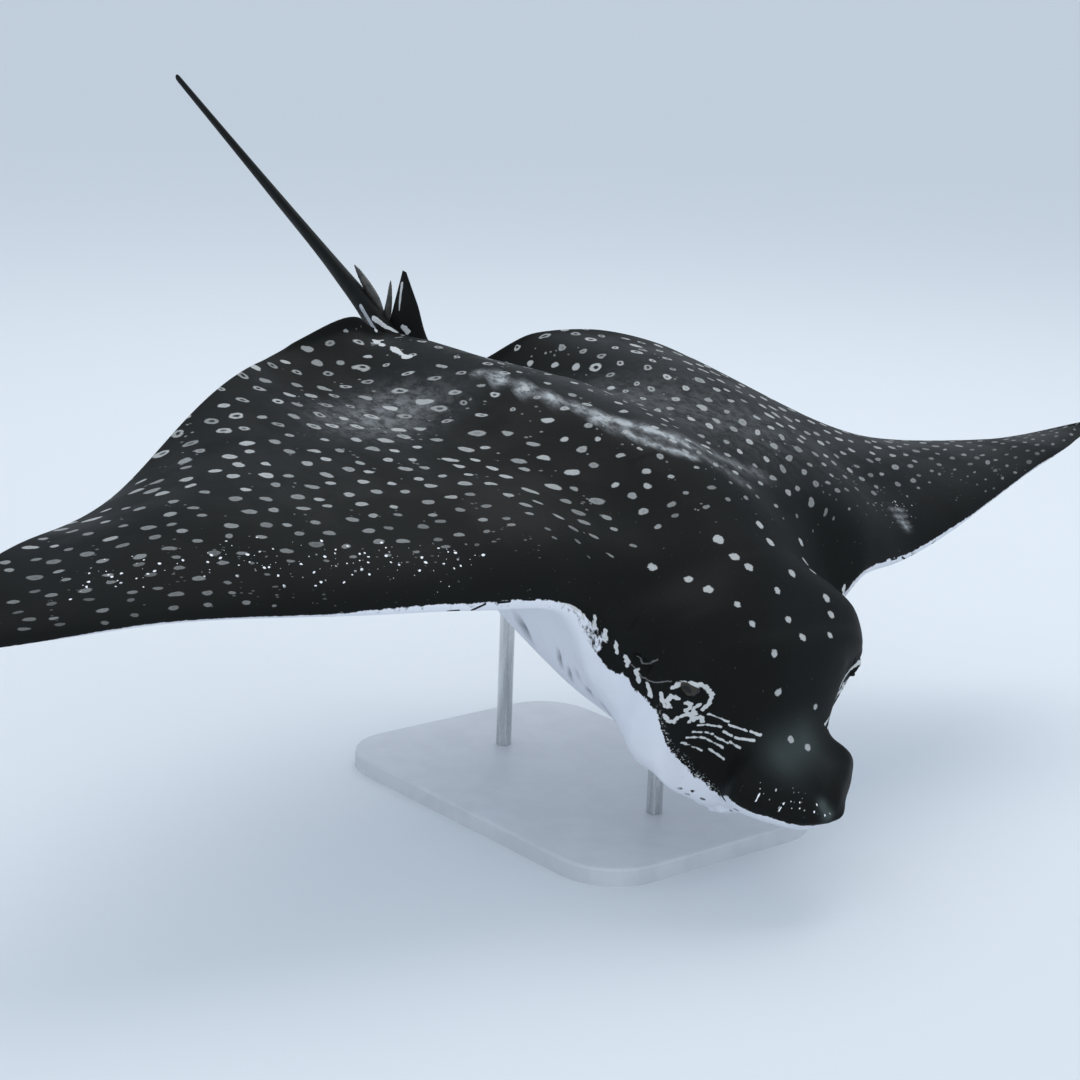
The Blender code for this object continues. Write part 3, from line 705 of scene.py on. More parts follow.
FLECK_FIRST = (-66.0, -2.0)
FLECK_STEP = 9.0
FLECK_DROP = 14.0
NECK_HOOK_RUN = 20.0
NECK_HOOK_DROP = 6.0
FOLD_LENGTH = 24.0
STREAK_ROWS = 5
STREAK_START = (58.0, -206.0, -20.0)
STREAK_ROW_STEP = (1.5, 0.5, -6.0)
STREAK_AIM = (-0.77, -0.63, 0.0)
STREAK_REACH = (34.0, 20.0)
STREAK_GAP = 2.5
DASHES = 4
DASH_FIRST = 0.156
DASH_STEP = 0.0150
DASH_LENGTH = 0.0070
DASH_HEIGHT = -0.005


def head_spots():
    """Spots of the head and neck, in rows that widen and grow from the bill to the neck."""
    dice = np.random.default_rng(MARK_SEED)
    spots = []
    for row in range(HEAD_SPOT_ROWS):
        y = BILL_Y + HEAD_SPOT_ROW_STEP * row
        half = np.interp(row, [0, 2, HEAD_SPOT_ROWS - 1], [0.008, 0.024, 0.062])
        for x in np.linspace(-half, half, 2 + (row + 1) // 3):
            shift = dice.uniform(-0.0045, 0.0045, 2)
            radius = (0.0021 + 0.00014 * row) * dice.uniform(0.8, 1.15)
            spots.append((float(x + shift[0]), float(y + shift[1]), float(radius)))
    return spots


# Pale lines, in thousandths. The maze, flecks and folds are laid out ahead of the eye and above it, and
# the streaks and dashes on the flat ray itself, on its left side. The right side mirrors them.
def arc(centre, radii, angles):
    return [(centre[0] + radii[0] * np.cos(a), centre[1] + radii[1] * np.sin(a)) for a in np.radians(angles)]


def maze_lines():
    """A ring over the eye, and rows of short hooks under it."""
    dice = np.random.default_rng(MARK_SEED)
    lines = [arc(EYE_RING_CENTRE, EYE_RING_RADII, np.linspace(165, -35, 8))]
    for row in range(MAZE_ROWS):
        for k in range(HOOKS_PER_ROW):
            step = np.array([HOOK_STEP[0] * (k + 0.4 * row), HOOK_STEP[1] * row])
            centre = np.array(HOOK_FIRST) + step + dice.uniform(-1.0, 1.0, 2)
            radius = dice.uniform(*HOOK_RADIUS)
            lines.append(arc(centre, (radius, radius), dice.uniform(0, 360) + np.linspace(0, 165, 4)))
    return lines


def fleck_lines():
    """Slanting flecks down the neck's border, and one long bent stroke at the wing root."""
    lines = []
    for k in range(FLECKS):
        x = FLECK_FIRST[0] + FLECK_STEP * k
        y = FLECK_FIRST[1] - FLECK_DROP * ease(k, 1.0, 5.0)
        lines.append([(x, y + 2.5), (x + 1.5 + 0.5 * k, y - 2.5)])
    x, y = FLECK_FIRST[0] - 1.4 * NECK_HOOK_RUN, FLECK_FIRST[1] - NECK_HOOK_DROP
    lines.append([(x, y), (x + NECK_HOOK_RUN, y + 2.0), (x + NECK_HOOK_RUN, y - 0.6 * NECK_HOOK_DROP)])
    return lines


def fold_lines():
    """Two shallow folds of skin behind the eye: sunk as grooves in the bump, and drawn as faint pale lines of
    painted highlight in the colour.
    """
    steps = np.linspace(0, 1, 4)
    return [
        [(-34.0 + reach * t, -10.0 + 8.0 * t * t - 4.0 * np.sin(np.pi * t) + lift) for t in steps]
        for reach, lift in ((FOLD_LENGTH, 0.0), (0.5 * FOLD_LENGTH, 6.0))
    ]


def on_skin(point):
    """The nearest point of the skin on the flat ray's left side, both in thousandths."""
    left = flat_points[flat_points[:, 0] > 0] * 1000
    return tuple(float(v) for v in left[np.argmin(((left - point) ** 2).sum(1))])


def streak_lines():
    """Rows of broken streaks that run from under the eye toward the bill."""
    dice = np.random.default_rng(MARK_SEED)
    lines = []
    for row in range(STREAK_ROWS):
        start = np.array(STREAK_START) + np.array(STREAK_ROW_STEP) * row
        reach = np.interp(row, [0, STREAK_ROWS - 1], STREAK_REACH)
        along = dice.uniform(0, 3)
        while along < reach:
            length = dice.uniform(6, 13)
            ends = [start + np.array(STREAK_AIM) * distance for distance in (along, along + length)]
            lines.append([on_skin(end) for end in ends])
            along += length + STREAK_GAP
    return lines


def dash_lines():
    """Dark dashes in the white strip along the wing root's leading edge."""
    lines = []
    for k in range(DASHES):
        xs = DASH_FIRST + DASH_STEP * k + np.array([0, DASH_LENGTH])
        ys = np.interp(xs, OUTLINE_X[9:17], OUTLINE_Y[9:17])
        lines.append([on_skin(1000 * np.array([x, y, DASH_HEIGHT])) for x, y in zip(xs, ys)])
    return lines


class Graph:
    """A node tree being wired, with short words for its commonest nodes."""

    def __init__(self, tree):
        self.tree = tree

    def node(self, kind, **settings):
        made = self.tree.nodes.new(kind)
        for name, value in settings.items():
            setattr(made, name, value)
        return made

    def feed(self, socket, value):
        if isinstance(value, bpy.types.NodeSocket):
            self.tree.links.new(value, socket)
        elif value is not None:
            socket.default_value = value

    def math(self, operation, *values, clamp=False):
        made = self.node("ShaderNodeMath", operation=operation)
        for socket, value in zip(made.inputs, values):
            self.feed(socket, value)
        if clamp:
            kept = self.node("ShaderNodeClamp")
            self.feed(kept.inputs["Value"], made.outputs[0])
            return kept.outputs["Result"]
        return made.outputs[0]

    def vector(self, operation, *values):
        made = self.node("ShaderNodeVectorMath", operation=operation)
        for socket, value in zip(made.inputs, values):
            self.feed(socket, value)
        return made.outputs["Value" if operation in ("LENGTH", "DISTANCE", "DOT_PRODUCT") else "Vector"]

    def ramp(self, value, low, high, start=0.0, end=1.0):
        """A smooth step of value from low to high, put out from start to end."""
        made = self.node("ShaderNodeMapRange", interpolation_type="SMOOTHSTEP", clamp=False)
        for socket, given in zip(made.inputs, (value, low, high, start, end)):
            self.feed(socket, given)
        return made.outputs["Result"]

    def blend(self, share, first, second):
        made = self.node("ShaderNodeMix", data_type="RGBA")
        self.feed(made.inputs["Factor"], share)
        self.feed(made.inputs[6], first)
        self.feed(made.inputs[7], second)
        return made.outputs[2]

    def noise(self, place, scale, detail=2.0, roughness=0.5, distortion=0.0, dimensions="3D"):
        made = self.node("ShaderNodeTexNoise", noise_dimensions=dimensions)
        for name, value in (
            ("Vector", place), ("Scale", scale), ("Detail", detail),
            ("Roughness", roughness), ("Distortion", distortion),
        ):
            self.feed(made.inputs[name], value)
        return made.outputs["Fac"], made.outputs["Color"]

    def cells(self, place, scale, randomness, dimensions="2D"):
        made = self.node("ShaderNodeTexVoronoi", voronoi_dimensions=dimensions)
        self.feed(made.inputs["Vector"], place)
        self.feed(made.inputs["Scale"], scale)
        self.feed(made.inputs["Randomness"], randomness)
        return made.outputs["Distance"], made.outputs["Color"]

    def parts(self, vector):
        made = self.node("ShaderNodeSeparateXYZ")
        self.feed(made.inputs[0], vector)
        return made.outputs

    def joined(self, *values):
        made = self.node("ShaderNodeCombineXYZ")
        for socket, value in zip(made.inputs, values):
            self.feed(socket, value)
        return made.outputs[0]

    def attribute(self, name):
        return self.node("ShaderNodeAttribute", attribute_name=name)

    def group(self, tree, **values):
        made = self.node("ShaderNodeGroup", node_tree=tree)
        for name, value in values.items():
            self.feed(made.inputs[name.replace("_", " ")], value)
        return made.outputs


def new_group(name, inputs, outputs):
    """A shader group with named sockets: each input is (name, kind, value), each output (name, kind)."""
    tree = bpy.data.node_groups.new(name, "ShaderNodeTree")
    for socket_name, kind, value in inputs:
        socket = tree.interface.new_socket(socket_name, in_out="INPUT", socket_type="NodeSocket" + kind)
        if value is not None:
            socket.default_value = value
    for socket_name, kind in outputs:
        tree.interface.new_socket(socket_name, in_out="OUTPUT", socket_type="NodeSocket" + kind)
    graph = Graph(tree)
    return tree, graph, graph.node("NodeGroupInput").outputs, graph.node("NodeGroupOutput").inputs


def new_material(name):
    material = bpy.data.materials.new(name)
    material.use_nodes = True
    graph = Graph(material.node_tree)
    return material, graph, material.node_tree.nodes["Principled BSDF"].inputs


def grain_group():
    """Fine surface grain shared by skin, spine and stand: a height of pits and ripples, and a patchiness."""
    tree, graph, given, wanted = new_group(
        "surface_grain",
        [("Place", "Vector", None), ("Fine Scale", "Float", 900.0), ("Coarse Scale", "Float", 60.0),
         ("Coarse Share", "Float", 0.5)],
        [("Height", "Float"), ("Patches", "Float")],
    )
    fine, _ = graph.noise(given["Place"], given["Fine Scale"], 3.0, 0.6)
    coarse, _ = graph.noise(given["Place"], given["Coarse Scale"], 3.0, 0.5)
    weighted = graph.math("MULTIPLY", coarse, given["Coarse Share"])
    graph.feed(wanted["Height"], graph.math("ADD", fine, weighted))
    graph.feed(wanted["Patches"], graph.ramp(coarse, 0.35, 0.65))
    return tree


def row_spots_group():
    """Pale spots in the rows of the back: solid, or ringed where Ring is 1."""
    tree, graph, given, wanted = new_group(
        "row_spots",
        [("Rows", "Vector", None), ("Plan", "Vector", None), ("Size", "Float", 0.22), ("Ring", "Float", 0.0),
         ("Randomness", "Float", 0.50), ("Soft", "Float", 0.028)],
        [("Spots", "Float")],
    )
    _, wander = graph.noise(given["Plan"], 60.0, 1.0)
    shift = graph.vector("SUBTRACT", wander, (0.5, 0.5, 0.5))
    shift = graph.vector("MULTIPLY", shift, (0.45, 0.45, 0.0))
    _, ragged = graph.noise(given["Plan"], 380.0, 1.0)
    rough = graph.vector("SUBTRACT", ragged, (0.5, 0.5, 0.5))
    rough = graph.vector("MULTIPLY", rough, (0.07, 0.07, 0.0))
    place = graph.vector("ADD", graph.vector("ADD", given["Rows"], shift), rough)
    distance, chance = graph.cells(place, 1.0, given["Randomness"])
    red, green, blue = graph.parts(chance)
    radius = graph.math("MULTIPLY", given["Size"], graph.ramp(red, 0.0, 1.0, 0.78, 1.14))
    inner = graph.math("SUBTRACT", radius, given["Soft"])
    outer = graph.math("ADD", radius, given["Soft"])
    solid = graph.ramp(distance, inner, outer, 1.0, 0.0)
    hole_radius = graph.math("MULTIPLY", radius, 0.42)
    inner, outer = (graph.math(way, hole_radius, 0.03) for way in ("SUBTRACT", "ADD"))
    hole = graph.ramp(distance, inner, outer, 1.0, 0.0)
    ring_share = graph.math("MULTIPLY", given["Ring"], graph.ramp(green, 0.25, 0.45))
    ringed = graph.math("MULTIPLY", hole, ring_share)
    body = graph.math("SUBTRACT", solid, ringed, clamp=True)
    bright = graph.ramp(blue, 0.0, 1.0, 0.55, 1.0)
    graph.feed(wanted["Spots"], graph.math("MULTIPLY", body, bright))
    return tree


def line_group():
    """One stroke between two points: how far inside its half width a place is."""
    tree, graph, given, wanted = new_group(
        "drawn_line",
        [("Place", "Vector", None), ("Start", "Vector", None), ("End", "Vector", None),
         ("Half Width", "Float", 0.001)],
        [("Depth", "Float")],
    )
    out = graph.vector("SUBTRACT", given["Place"], given["Start"])
    whole = graph.vector("SUBTRACT", given["End"], given["Start"])
    reached, full = graph.vector("DOT_PRODUCT", out, whole), graph.vector("DOT_PRODUCT", whole, whole)
    share = graph.math("DIVIDE", reached, full, clamp=True)
    reached = graph.node("ShaderNodeVectorMath", operation="SCALE")
    graph.feed(reached.inputs[0], whole)
    graph.feed(reached.inputs["Scale"], share)
    away = graph.vector("LENGTH", graph.vector("SUBTRACT", out, reached.outputs["Vector"]))
    graph.feed(wanted["Depth"], graph.math("SUBTRACT", given["Half Width"], away))
    return tree


def drawn_lines(graph, place, lines, half_width):
    """A mask of strokes through the given points, which are in thousandths and may have no third number."""
    depth = None
    for line in lines:
        ends = [[value / 1000 for value in point] + [0.0] * (3 - len(point)) for point in line]
        for start, end in zip(ends, ends[1:]):
            stroke = graph.group(LINE, Place=place, Start=start, End=end, Half_Width=half_width)["Depth"]
            depth = stroke if depth is None else graph.math("MAXIMUM", depth, stroke)
    return graph.ramp(depth, -0.00025, 0.00025)


def skin_material():
    material, graph, shader = new_material("ray_skin")
    # The maze round the eye, and its streaks toward the bill.
    cheek = graph.attribute("cheek").outputs["Vector"]
    ahead_of_eye, above_eye, run = graph.parts(cheek)
    on_head = graph.ramp(run, 0.17, 0.20, 1.0, 0.0)
    cheek_place = graph.vector("MULTIPLY", cheek, (1.0, 1.0, 0.0))
    _, bent = graph.noise(graph.attribute("plan").outputs["Vector"], 260.0, 1.0)
    bend = graph.vector("MULTIPLY", graph.vector("SUBTRACT", bent, (0.5, 0.5, 0.5)), (0.0016, 0.0016, 0.0))
    width_noise, _ = graph.noise(cheek_place, 330.0, 1.0)
    cheek_place = graph.vector("ADD", cheek_place, bend)
    bold = graph.ramp(width_noise, 0.3, 0.7, 0.0009, 0.0019)
    maze = drawn_lines(graph, cheek_place, maze_lines() + fleck_lines(), bold)
    folds = drawn_lines(graph, cheek_place, fold_lines(), 0.0004)
    plan = graph.attribute("plan").outputs["Vector"]
    x, y, z = graph.parts(plan)
    left_place = graph.vector("ADD", graph.joined(graph.math("ABSOLUTE", x), y, z), bend)
    dashes = drawn_lines(graph, left_place, dash_lines(), 0.0008)
    fine = graph.ramp(width_noise, 0.3, 0.7, 0.0005, 0.0011)
    streaks = drawn_lines(graph, left_place, streak_lines(), fine)
    drawn = graph.math("MAXIMUM", maze, streaks)
    drawn = graph.math("MULTIPLY", drawn, graph.ramp(run, 0.245, 0.255, 1.0, 0.0))

    rows = graph.attribute("rows").outputs["Vector"]
    over = graph.attribute("over_border").outputs["Fac"]
    reach = graph.math("ABSOLUTE", x)
    behind = graph.parts(rows)[2]
    patch_and_sheen_area, bill_sheen_and_tip, tail_marks = graph.parts(graph.attribute("soft_marks").outputs["Vector"])

    grain = graph.group(GRAIN, Place=plan, Fine_Scale=700.0, Coarse_Scale=22.0, Coarse_Share=0.6)
    mottle, _ = graph.noise(plan, 9.0, 4.0, 0.6)
    tone = graph.ramp(grain["Patches"], 0.0, 1.0, 0.5, 1.0)
    tone = graph.math("MULTIPLY", graph.ramp(mottle, 0.35, 0.7), tone)
    dark = graph.blend(tone, BACK_DARK, BACK_GREY)

    # A pale mottled patch and a pale streak on the wings, and painted sheen in grey over the crest of the
    # back and the left wing's root; painted sheen in the bill's grey-green dip, with a grey patch at the
    # bill's tip.
    pale_patch_and_sheen, _ = graph.noise(graph.vector("MULTIPLY", plan, (1.0, 0.6, 1.0)), 150.0, 5.0, 0.75)
    pale_patch_and_sheen = graph.math("MULTIPLY", patch_and_sheen_area, graph.ramp(pale_patch_and_sheen, 0.36, 0.64, 0.2, 1.0))
    dark = graph.blend(graph.math("MULTIPLY", pale_patch_and_sheen, 0.62, clamp=True), dark, PATCH_AND_SHEEN_GREY)
    dark = graph.blend(bill_sheen_and_tip, dark, BILL_GREY)

    # Spots in rows over wings and back, thinning out toward the head.
    size = graph.ramp(behind, 0.0, 0.35, 0.160, 0.190)
    size = graph.math("MULTIPLY", size, graph.ramp(reach, 0.03, 0.10, 0.72, 1.0))
    past_neck = graph.math("MAXIMUM", graph.ramp(y, -0.125, -0.10), graph.ramp(reach, 0.095, 0.13))
    past_neck = graph.math("MULTIPLY", past_neck, graph.ramp(y, 0.205, 0.215, 1.0, 0.0))
    plain_edge = graph.math("MAXIMUM", graph.ramp(behind, 0.05, 0.12), graph.ramp(reach, 0.27, 0.34))
    size = graph.math("MULTIPLY", size, graph.math("MULTIPLY", past_neck, plain_edge))
    ringed = graph.math("MULTIPLY", graph.ramp(behind, 0.40, 0.60), graph.ramp(reach, 0.40, 0.30))
    ring = graph.math("MAXIMUM", ringed, 0.15)
    row_spots = graph.group(ROW_SPOTS, Rows=rows, Plan=plan, Size=size, Ring=ring)["Spots"]
    fine_rows = graph.vector("MULTIPLY", rows, (2.3, 2.3, 0.0))
    few, _ = graph.noise(plan, 60.0, 0.0)
    fine_size = graph.math("MULTIPLY", graph.ramp(few, 0.62, 0.72, 0.0, 0.12), past_neck)
    fine_spots = graph.group(ROW_SPOTS, Rows=fine_rows, Plan=plan, Size=fine_size, Randomness=1.0)["Spots"]
    row_spots = graph.math("MAXIMUM", row_spots, graph.math("MULTIPLY", fine_spots, 0.5))
    row_spots = graph.math("MULTIPLY", row_spots, graph.ramp(behind, 0.02, 0.34, 0.42, 1.0))

    # The larger spots of the head and neck, in rows that widen from the bill.
    _, uneven = graph.noise(plan, 420.0, 1.0)
    wobble = graph.vector("SUBTRACT", uneven, (0.5, 0.5, 0.5))
    wobble = graph.vector("MULTIPLY", wobble, (0.0022, 0.0022, 0.0022))
    shaken = graph.vector("ADD", plan, wobble)
    large_spots = None
    for spot_x, spot_y, spot_radius in head_spots():
        on_top_points = flat_points[over_side >= 0]
        nearest = np.argmin(np.hypot(on_top_points[:, 0] - spot_x, on_top_points[:, 1] - spot_y))
        away = graph.vector("DISTANCE", shaken, (spot_x, spot_y, float(on_top_points[nearest, 2])))
        spot = graph.ramp(away, spot_radius - 0.0005, spot_radius + 0.0005, 1.0, 0.0)
        large_spots = spot if large_spots is None else graph.math("MAXIMUM", large_spots, spot)
    pale = graph.math("MAXIMUM", row_spots, large_spots)

    # Where dark back meets white belly: a ragged line, with grit along the jaw, dark specks under it on
    # the chin and squiggles along the leading edges.
    edge_noise, _ = graph.noise(plan, 260.0, 3.0, 0.65)
    ragged_most = graph.ramp(on_head, 0.0, 1.0, 0.0050, 0.0075)
    ragged_most = graph.math("MULTIPLY", ragged_most, graph.ramp(run, 0.33, 0.39, 1.0, 0.35))
    ragged_by = graph.math("MULTIPLY", graph.math("SUBTRACT", edge_noise, 0.5), ragged_most)
    line = graph.math("ADD", over, ragged_by)
    tail_marks = graph.math("ADD", tail_marks, graph.math("MULTIPLY", edge_noise, 0.5))
    drawn = graph.math("MAXIMUM", drawn, graph.ramp(tail_marks, 0.70, 0.80))
    grit, _ = graph.noise(plan, 620.0, 2.0, 0.6)
    grit = graph.math("MULTIPLY", graph.ramp(grit, 0.55, 0.62), graph.ramp(over, 0.002, 0.008, 1.0, 0.0))
    grit = graph.math("MULTIPLY", grit, graph.ramp(run, 0.134, 0.148, 1.0, 0.0))
    grit = graph.math("MULTIPLY", grit, graph.ramp(run, 0.080, 0.095))
    drawn = graph.math("MAXIMUM", drawn, graph.math("MULTIPLY", grit, 0.8))
    wander, along = graph.noise(graph.vector("MULTIPLY", plan, (130.0, 60.0, 60.0)), 1.0, 1.0)
    strays = graph.math("MULTIPLY", graph.math("SUBTRACT", wander, 0.5), 0.003)
    from_dash = graph.math("ADD", over, graph.math("ADD", 0.0020, strays))
    dash_half = graph.ramp(graph.parts(along)[1], 0.44, 0.64, -0.0006, 0.0008)
    squiggle = graph.math("SUBTRACT", dash_half, graph.math("ABSOLUTE", from_dash))
    squiggle = graph.ramp(squiggle, -0.0002, 0.0003)
    squiggle = graph.math("MULTIPLY", squiggle, graph.ramp(run, 0.20, 0.24))
    squiggle = graph.math("MULTIPLY", squiggle, graph.ramp(x, 0.0, 0.05))
    squiggle = graph.math("MAXIMUM", squiggle, dashes)
    chin, chin_chance = graph.cells(graph.vector("MULTIPLY", cheek, (110.0, 150.0, 0.0)), 1.0, 1.0)
    chin = graph.ramp(chin, 0.17, 0.25, 1.0, 0.0)
    chin = graph.math("MULTIPLY", chin, graph.ramp(graph.parts(chin_chance)[0], 0.5, 0.55))
    chin_band = graph.ramp(above_eye, -0.086, -0.080)
    chin_band = graph.math("MULTIPLY", chin_band, graph.ramp(ahead_of_eye, 0.024, 0.030))
    chin_band = graph.math("MULTIPLY", chin_band, graph.ramp(ahead_of_eye, 0.060, 0.068, 1.0, 0.0))
    chin = graph.math("MULTIPLY", chin, graph.math("MULTIPLY", chin_band, on_head))
    white = graph.ramp(line, -0.0006, 0.0006, 1.0, 0.0)
    white = graph.math("MULTIPLY", white, graph.math("SUBTRACT", 1.0, graph.math("MAXIMUM", squiggle, chin)))

    # The belly's own shading, dusky toward the trailing edges and wing tips.
    cloud, _ = graph.noise(plan, 14.0, 4.0, 0.6)
    belly = graph.blend(graph.ramp(cloud, 0.45, 0.8, 0.0, 0.35), BELLY_WHITE, BELLY_SHADE)
    dusky = graph.math("MULTIPLY", graph.ramp(over, -0.05, -0.012), graph.ramp(behind, 0.12, 0.45))
    belly = graph.blend(graph.math("MULTIPLY", dusky, 0.6), belly, DUSKY)
    # Painted shade: the gill slits and the mouth darkened toward dusky grey in the belly's colour.
    slits = graph.attribute("slits").outputs["Fac"]
    belly = graph.blend(graph.math("MULTIPLY", slits, 0.8), belly, DUSKY)

    # Painted glints: white highlights of the wet skin on the bill's rim and along the right wing's leading
    # part.
    glint_scale = graph.ramp(on_head, 0.0, 1.0, 240.0, 380.0)
    glint_place = graph.vector("MULTIPLY", plan, graph.joined(glint_scale, glint_scale, 0.0))
    glint_place = graph.vector("ADD", glint_place, graph.vector("MULTIPLY", bent, (0.5, 0.5, 0.0)))
    glint, glint_chance = graph.cells(glint_place, 1.0, 1.0)
    glint_red, glint_green, _ = graph.parts(glint_chance)
    glint_size = graph.ramp(glint_green, 0.3, 1.0, 0.05, 0.23)
    glint = graph.ramp(graph.math("SUBTRACT", glint, glint_size), -0.03, 0.03, 1.0, 0.0)
    clumps, _ = graph.noise(plan, 75.0, 1.0)
    wet = graph.attribute("glint_area").outputs["Fac"]
    wet = graph.math("MULTIPLY", wet, graph.ramp(clumps, 0.38, 0.62, 0.35, 1.0))
    glint = graph.math("MULTIPLY", glint, graph.ramp(graph.math("ADD", wet, glint_red), 1.12, 1.30))

    speck, _ = graph.noise(plan, 900.0, 1.0)
    spot_colour = graph.blend(graph.ramp(speck, 0.35, 0.65, 0.25, 0.0), SPOT_PALE, SPOT_SHADE)
    # Painted highlight: faint pale lines along the folds behind the eye, blended over the spots and dark
    # skin.
    back = graph.blend(graph.math("MULTIPLY", folds, 0.22), graph.blend(pale, dark, spot_colour), LINE_PALE)
    back = graph.blend(drawn, back, LINE_PALE)
    back = graph.blend(glint, back, GLINT_WHITE)
    colour = graph.blend(white, back, belly)
    graph.feed(shader["Base Color"], colour)
    rough = graph.ramp(grain["Patches"], 0.0, 1.0, 0.44, 0.56)
    graph.feed(shader["Roughness"], rough)
    shader["Specular IOR Level"].default_value = 0.03
    relief = graph.node("ShaderNodeBump")
    relief.inputs["Strength"].default_value = 0.25
    relief.inputs["Distance"].default_value = 0.0008
    raised = graph.math("ADD", grain["Height"], graph.math("MULTIPLY", pale, 0.15))
    raised = graph.math("SUBTRACT", raised, folds)
    graph.feed(relief.inputs["Height"], raised)
    graph.feed(shader["Normal"], relief.outputs["Normal"])
    return material


LINE = line_group()
GRAIN = grain_group()
ROW_SPOTS = row_spots_group()
skin = linked("ray_skin", skin_mesh, skin_material())
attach(skin, "root")
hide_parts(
    "rostral_lobe", "head", "trunk", "wing_inner_left", "wing_inner_right", "wing_outer_left",
    "wing_outer_right", "tail_1", "tail_2", "tail_3", "tail_4", "dorsal_fin", "pelvic_fin_left",
    "pelvic_fin_right",
)

# The eyes: a ball on each side of the head. A ray's iris is dark and brassy, and a flap of it hangs
# over the pupil, so that in bright water only a low crescent stays open.
EYE_RINGS = 40
EYE_SEGMENTS = 64


def eye_material():
    material, graph, shader = new_material("eye")
    front = graph.attribute("eye_front").outputs["Vector"]
    a, b, _ = graph.parts(front)
    radial = graph.math("SQRT", graph.math("ADD", graph.math("MULTIPLY", a, a), graph.math("MULTIPLY", b, b)))
    angle = graph.math("ARCTAN2", a, b)
    rays = graph.joined(graph.math("MULTIPLY", angle, 9.0), graph.math("MULTIPLY", radial, 2.0), 0.0)
    fibres, _ = graph.noise(rays, 1.0, 3.0, 0.6)
    iris = graph.blend(fibres, (0.010, 0.009, 0.007, 1), (0.045, 0.036, 0.022, 1))
    pupil_height = graph.math("ADD", b, graph.math("MULTIPLY", graph.math("MULTIPLY", a, a), 0.9))
    pupil_height = graph.math("MULTIPLY", graph.math("ADD", pupil_height, 0.08), 1.9)
    pupil = graph.vector("LENGTH", graph.joined(a, pupil_height, 0.0))
    colour = graph.blend(graph.ramp(pupil, 0.36, 0.42, 1.0, 0.0), iris, (0.002, 0.002, 0.003, 1))
    colour = graph.blend(graph.ramp(radial, 0.62, 0.72), colour, (0.014, 0.014, 0.015, 1))
    graph.feed(shader["Base Color"], colour)
    shader["Roughness"].default_value = 0.12
    shader["Specular IOR Level"].default_value = 0.2
    shader["Coat Weight"].default_value = 0.3
    shader["Coat Roughness"].default_value = 0.03
    return material


def eyeball(side_name, side, material):
    outward, along, upward = local_axes(EYE_OUTWARD, EYE_ALONG, side)
    bm = bmesh.new()
    bmesh.ops.create_uvsphere(bm, u_segments=EYE_SEGMENTS, v_segments=EYE_RINGS, radius=1.0)
    ball = np.array([vert.co[:] for vert in bm.verts])
    basis = np.stack([along, upward, outward])
    place_points(bm, pose(mirrored(EYE_PLACE, side) + ball @ basis * EYE_RADIUS))
    bmesh.ops.recalc_face_normals(bm, faces=bm.faces)
    mesh = bpy.data.meshes.new("eyeball_" + side_name)
    bm.to_mesh(mesh)
    bm.free()
    mesh.shade_smooth()
    front = mesh.attributes.new("eye_front", "FLOAT_VECTOR", "POINT")
    front.data.foreach_set("vector", np.ascontiguousarray(ball, np.float32).reshape(-1))
    made = linked("eyeball_" + side_name, mesh, material)
    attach(made, "root")
    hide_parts("eye_" + side_name)


EYE_LOOK = eye_material()
for side_name, side in (("left", 1), ("right", -1)):
    eyeball(side_name, side, EYE_LOOK)

# The stinging spines: two flat daggers of dentine on top of the tail, behind the fin. Both edges carry
# a row of small barbs that point back toward the root, a millimetre or two long. Geometry Nodes set them.
SPINES = {
    "tail_spine_long": [(0.259, 0.0180, 0.0036), (0.270, 0.0215, 0.0048), (0.283, 0.0238, 0.0044),
                        (0.295, 0.0256, 0.0030), (0.3055, 0.0272, 0.0007)],
    "tail_spine_short": [(0.2520, 0.0150, 0.0040), (0.2545, 0.0225, 0.0040), (0.2580, 0.0310, 0.0032),
                         (0.2622, 0.0385, 0.0020), (0.2656, 0.0442, 0.0005)],
}
SPINE_FLATNESS = 0.6
BARBS_PER_EDGE = {"tail_spine_long": 17, "tail_spine_short": 11}
BARB_LENGTH = 0.0016
BARB_RADIUS = 0.0005
BARB_SEED = 5


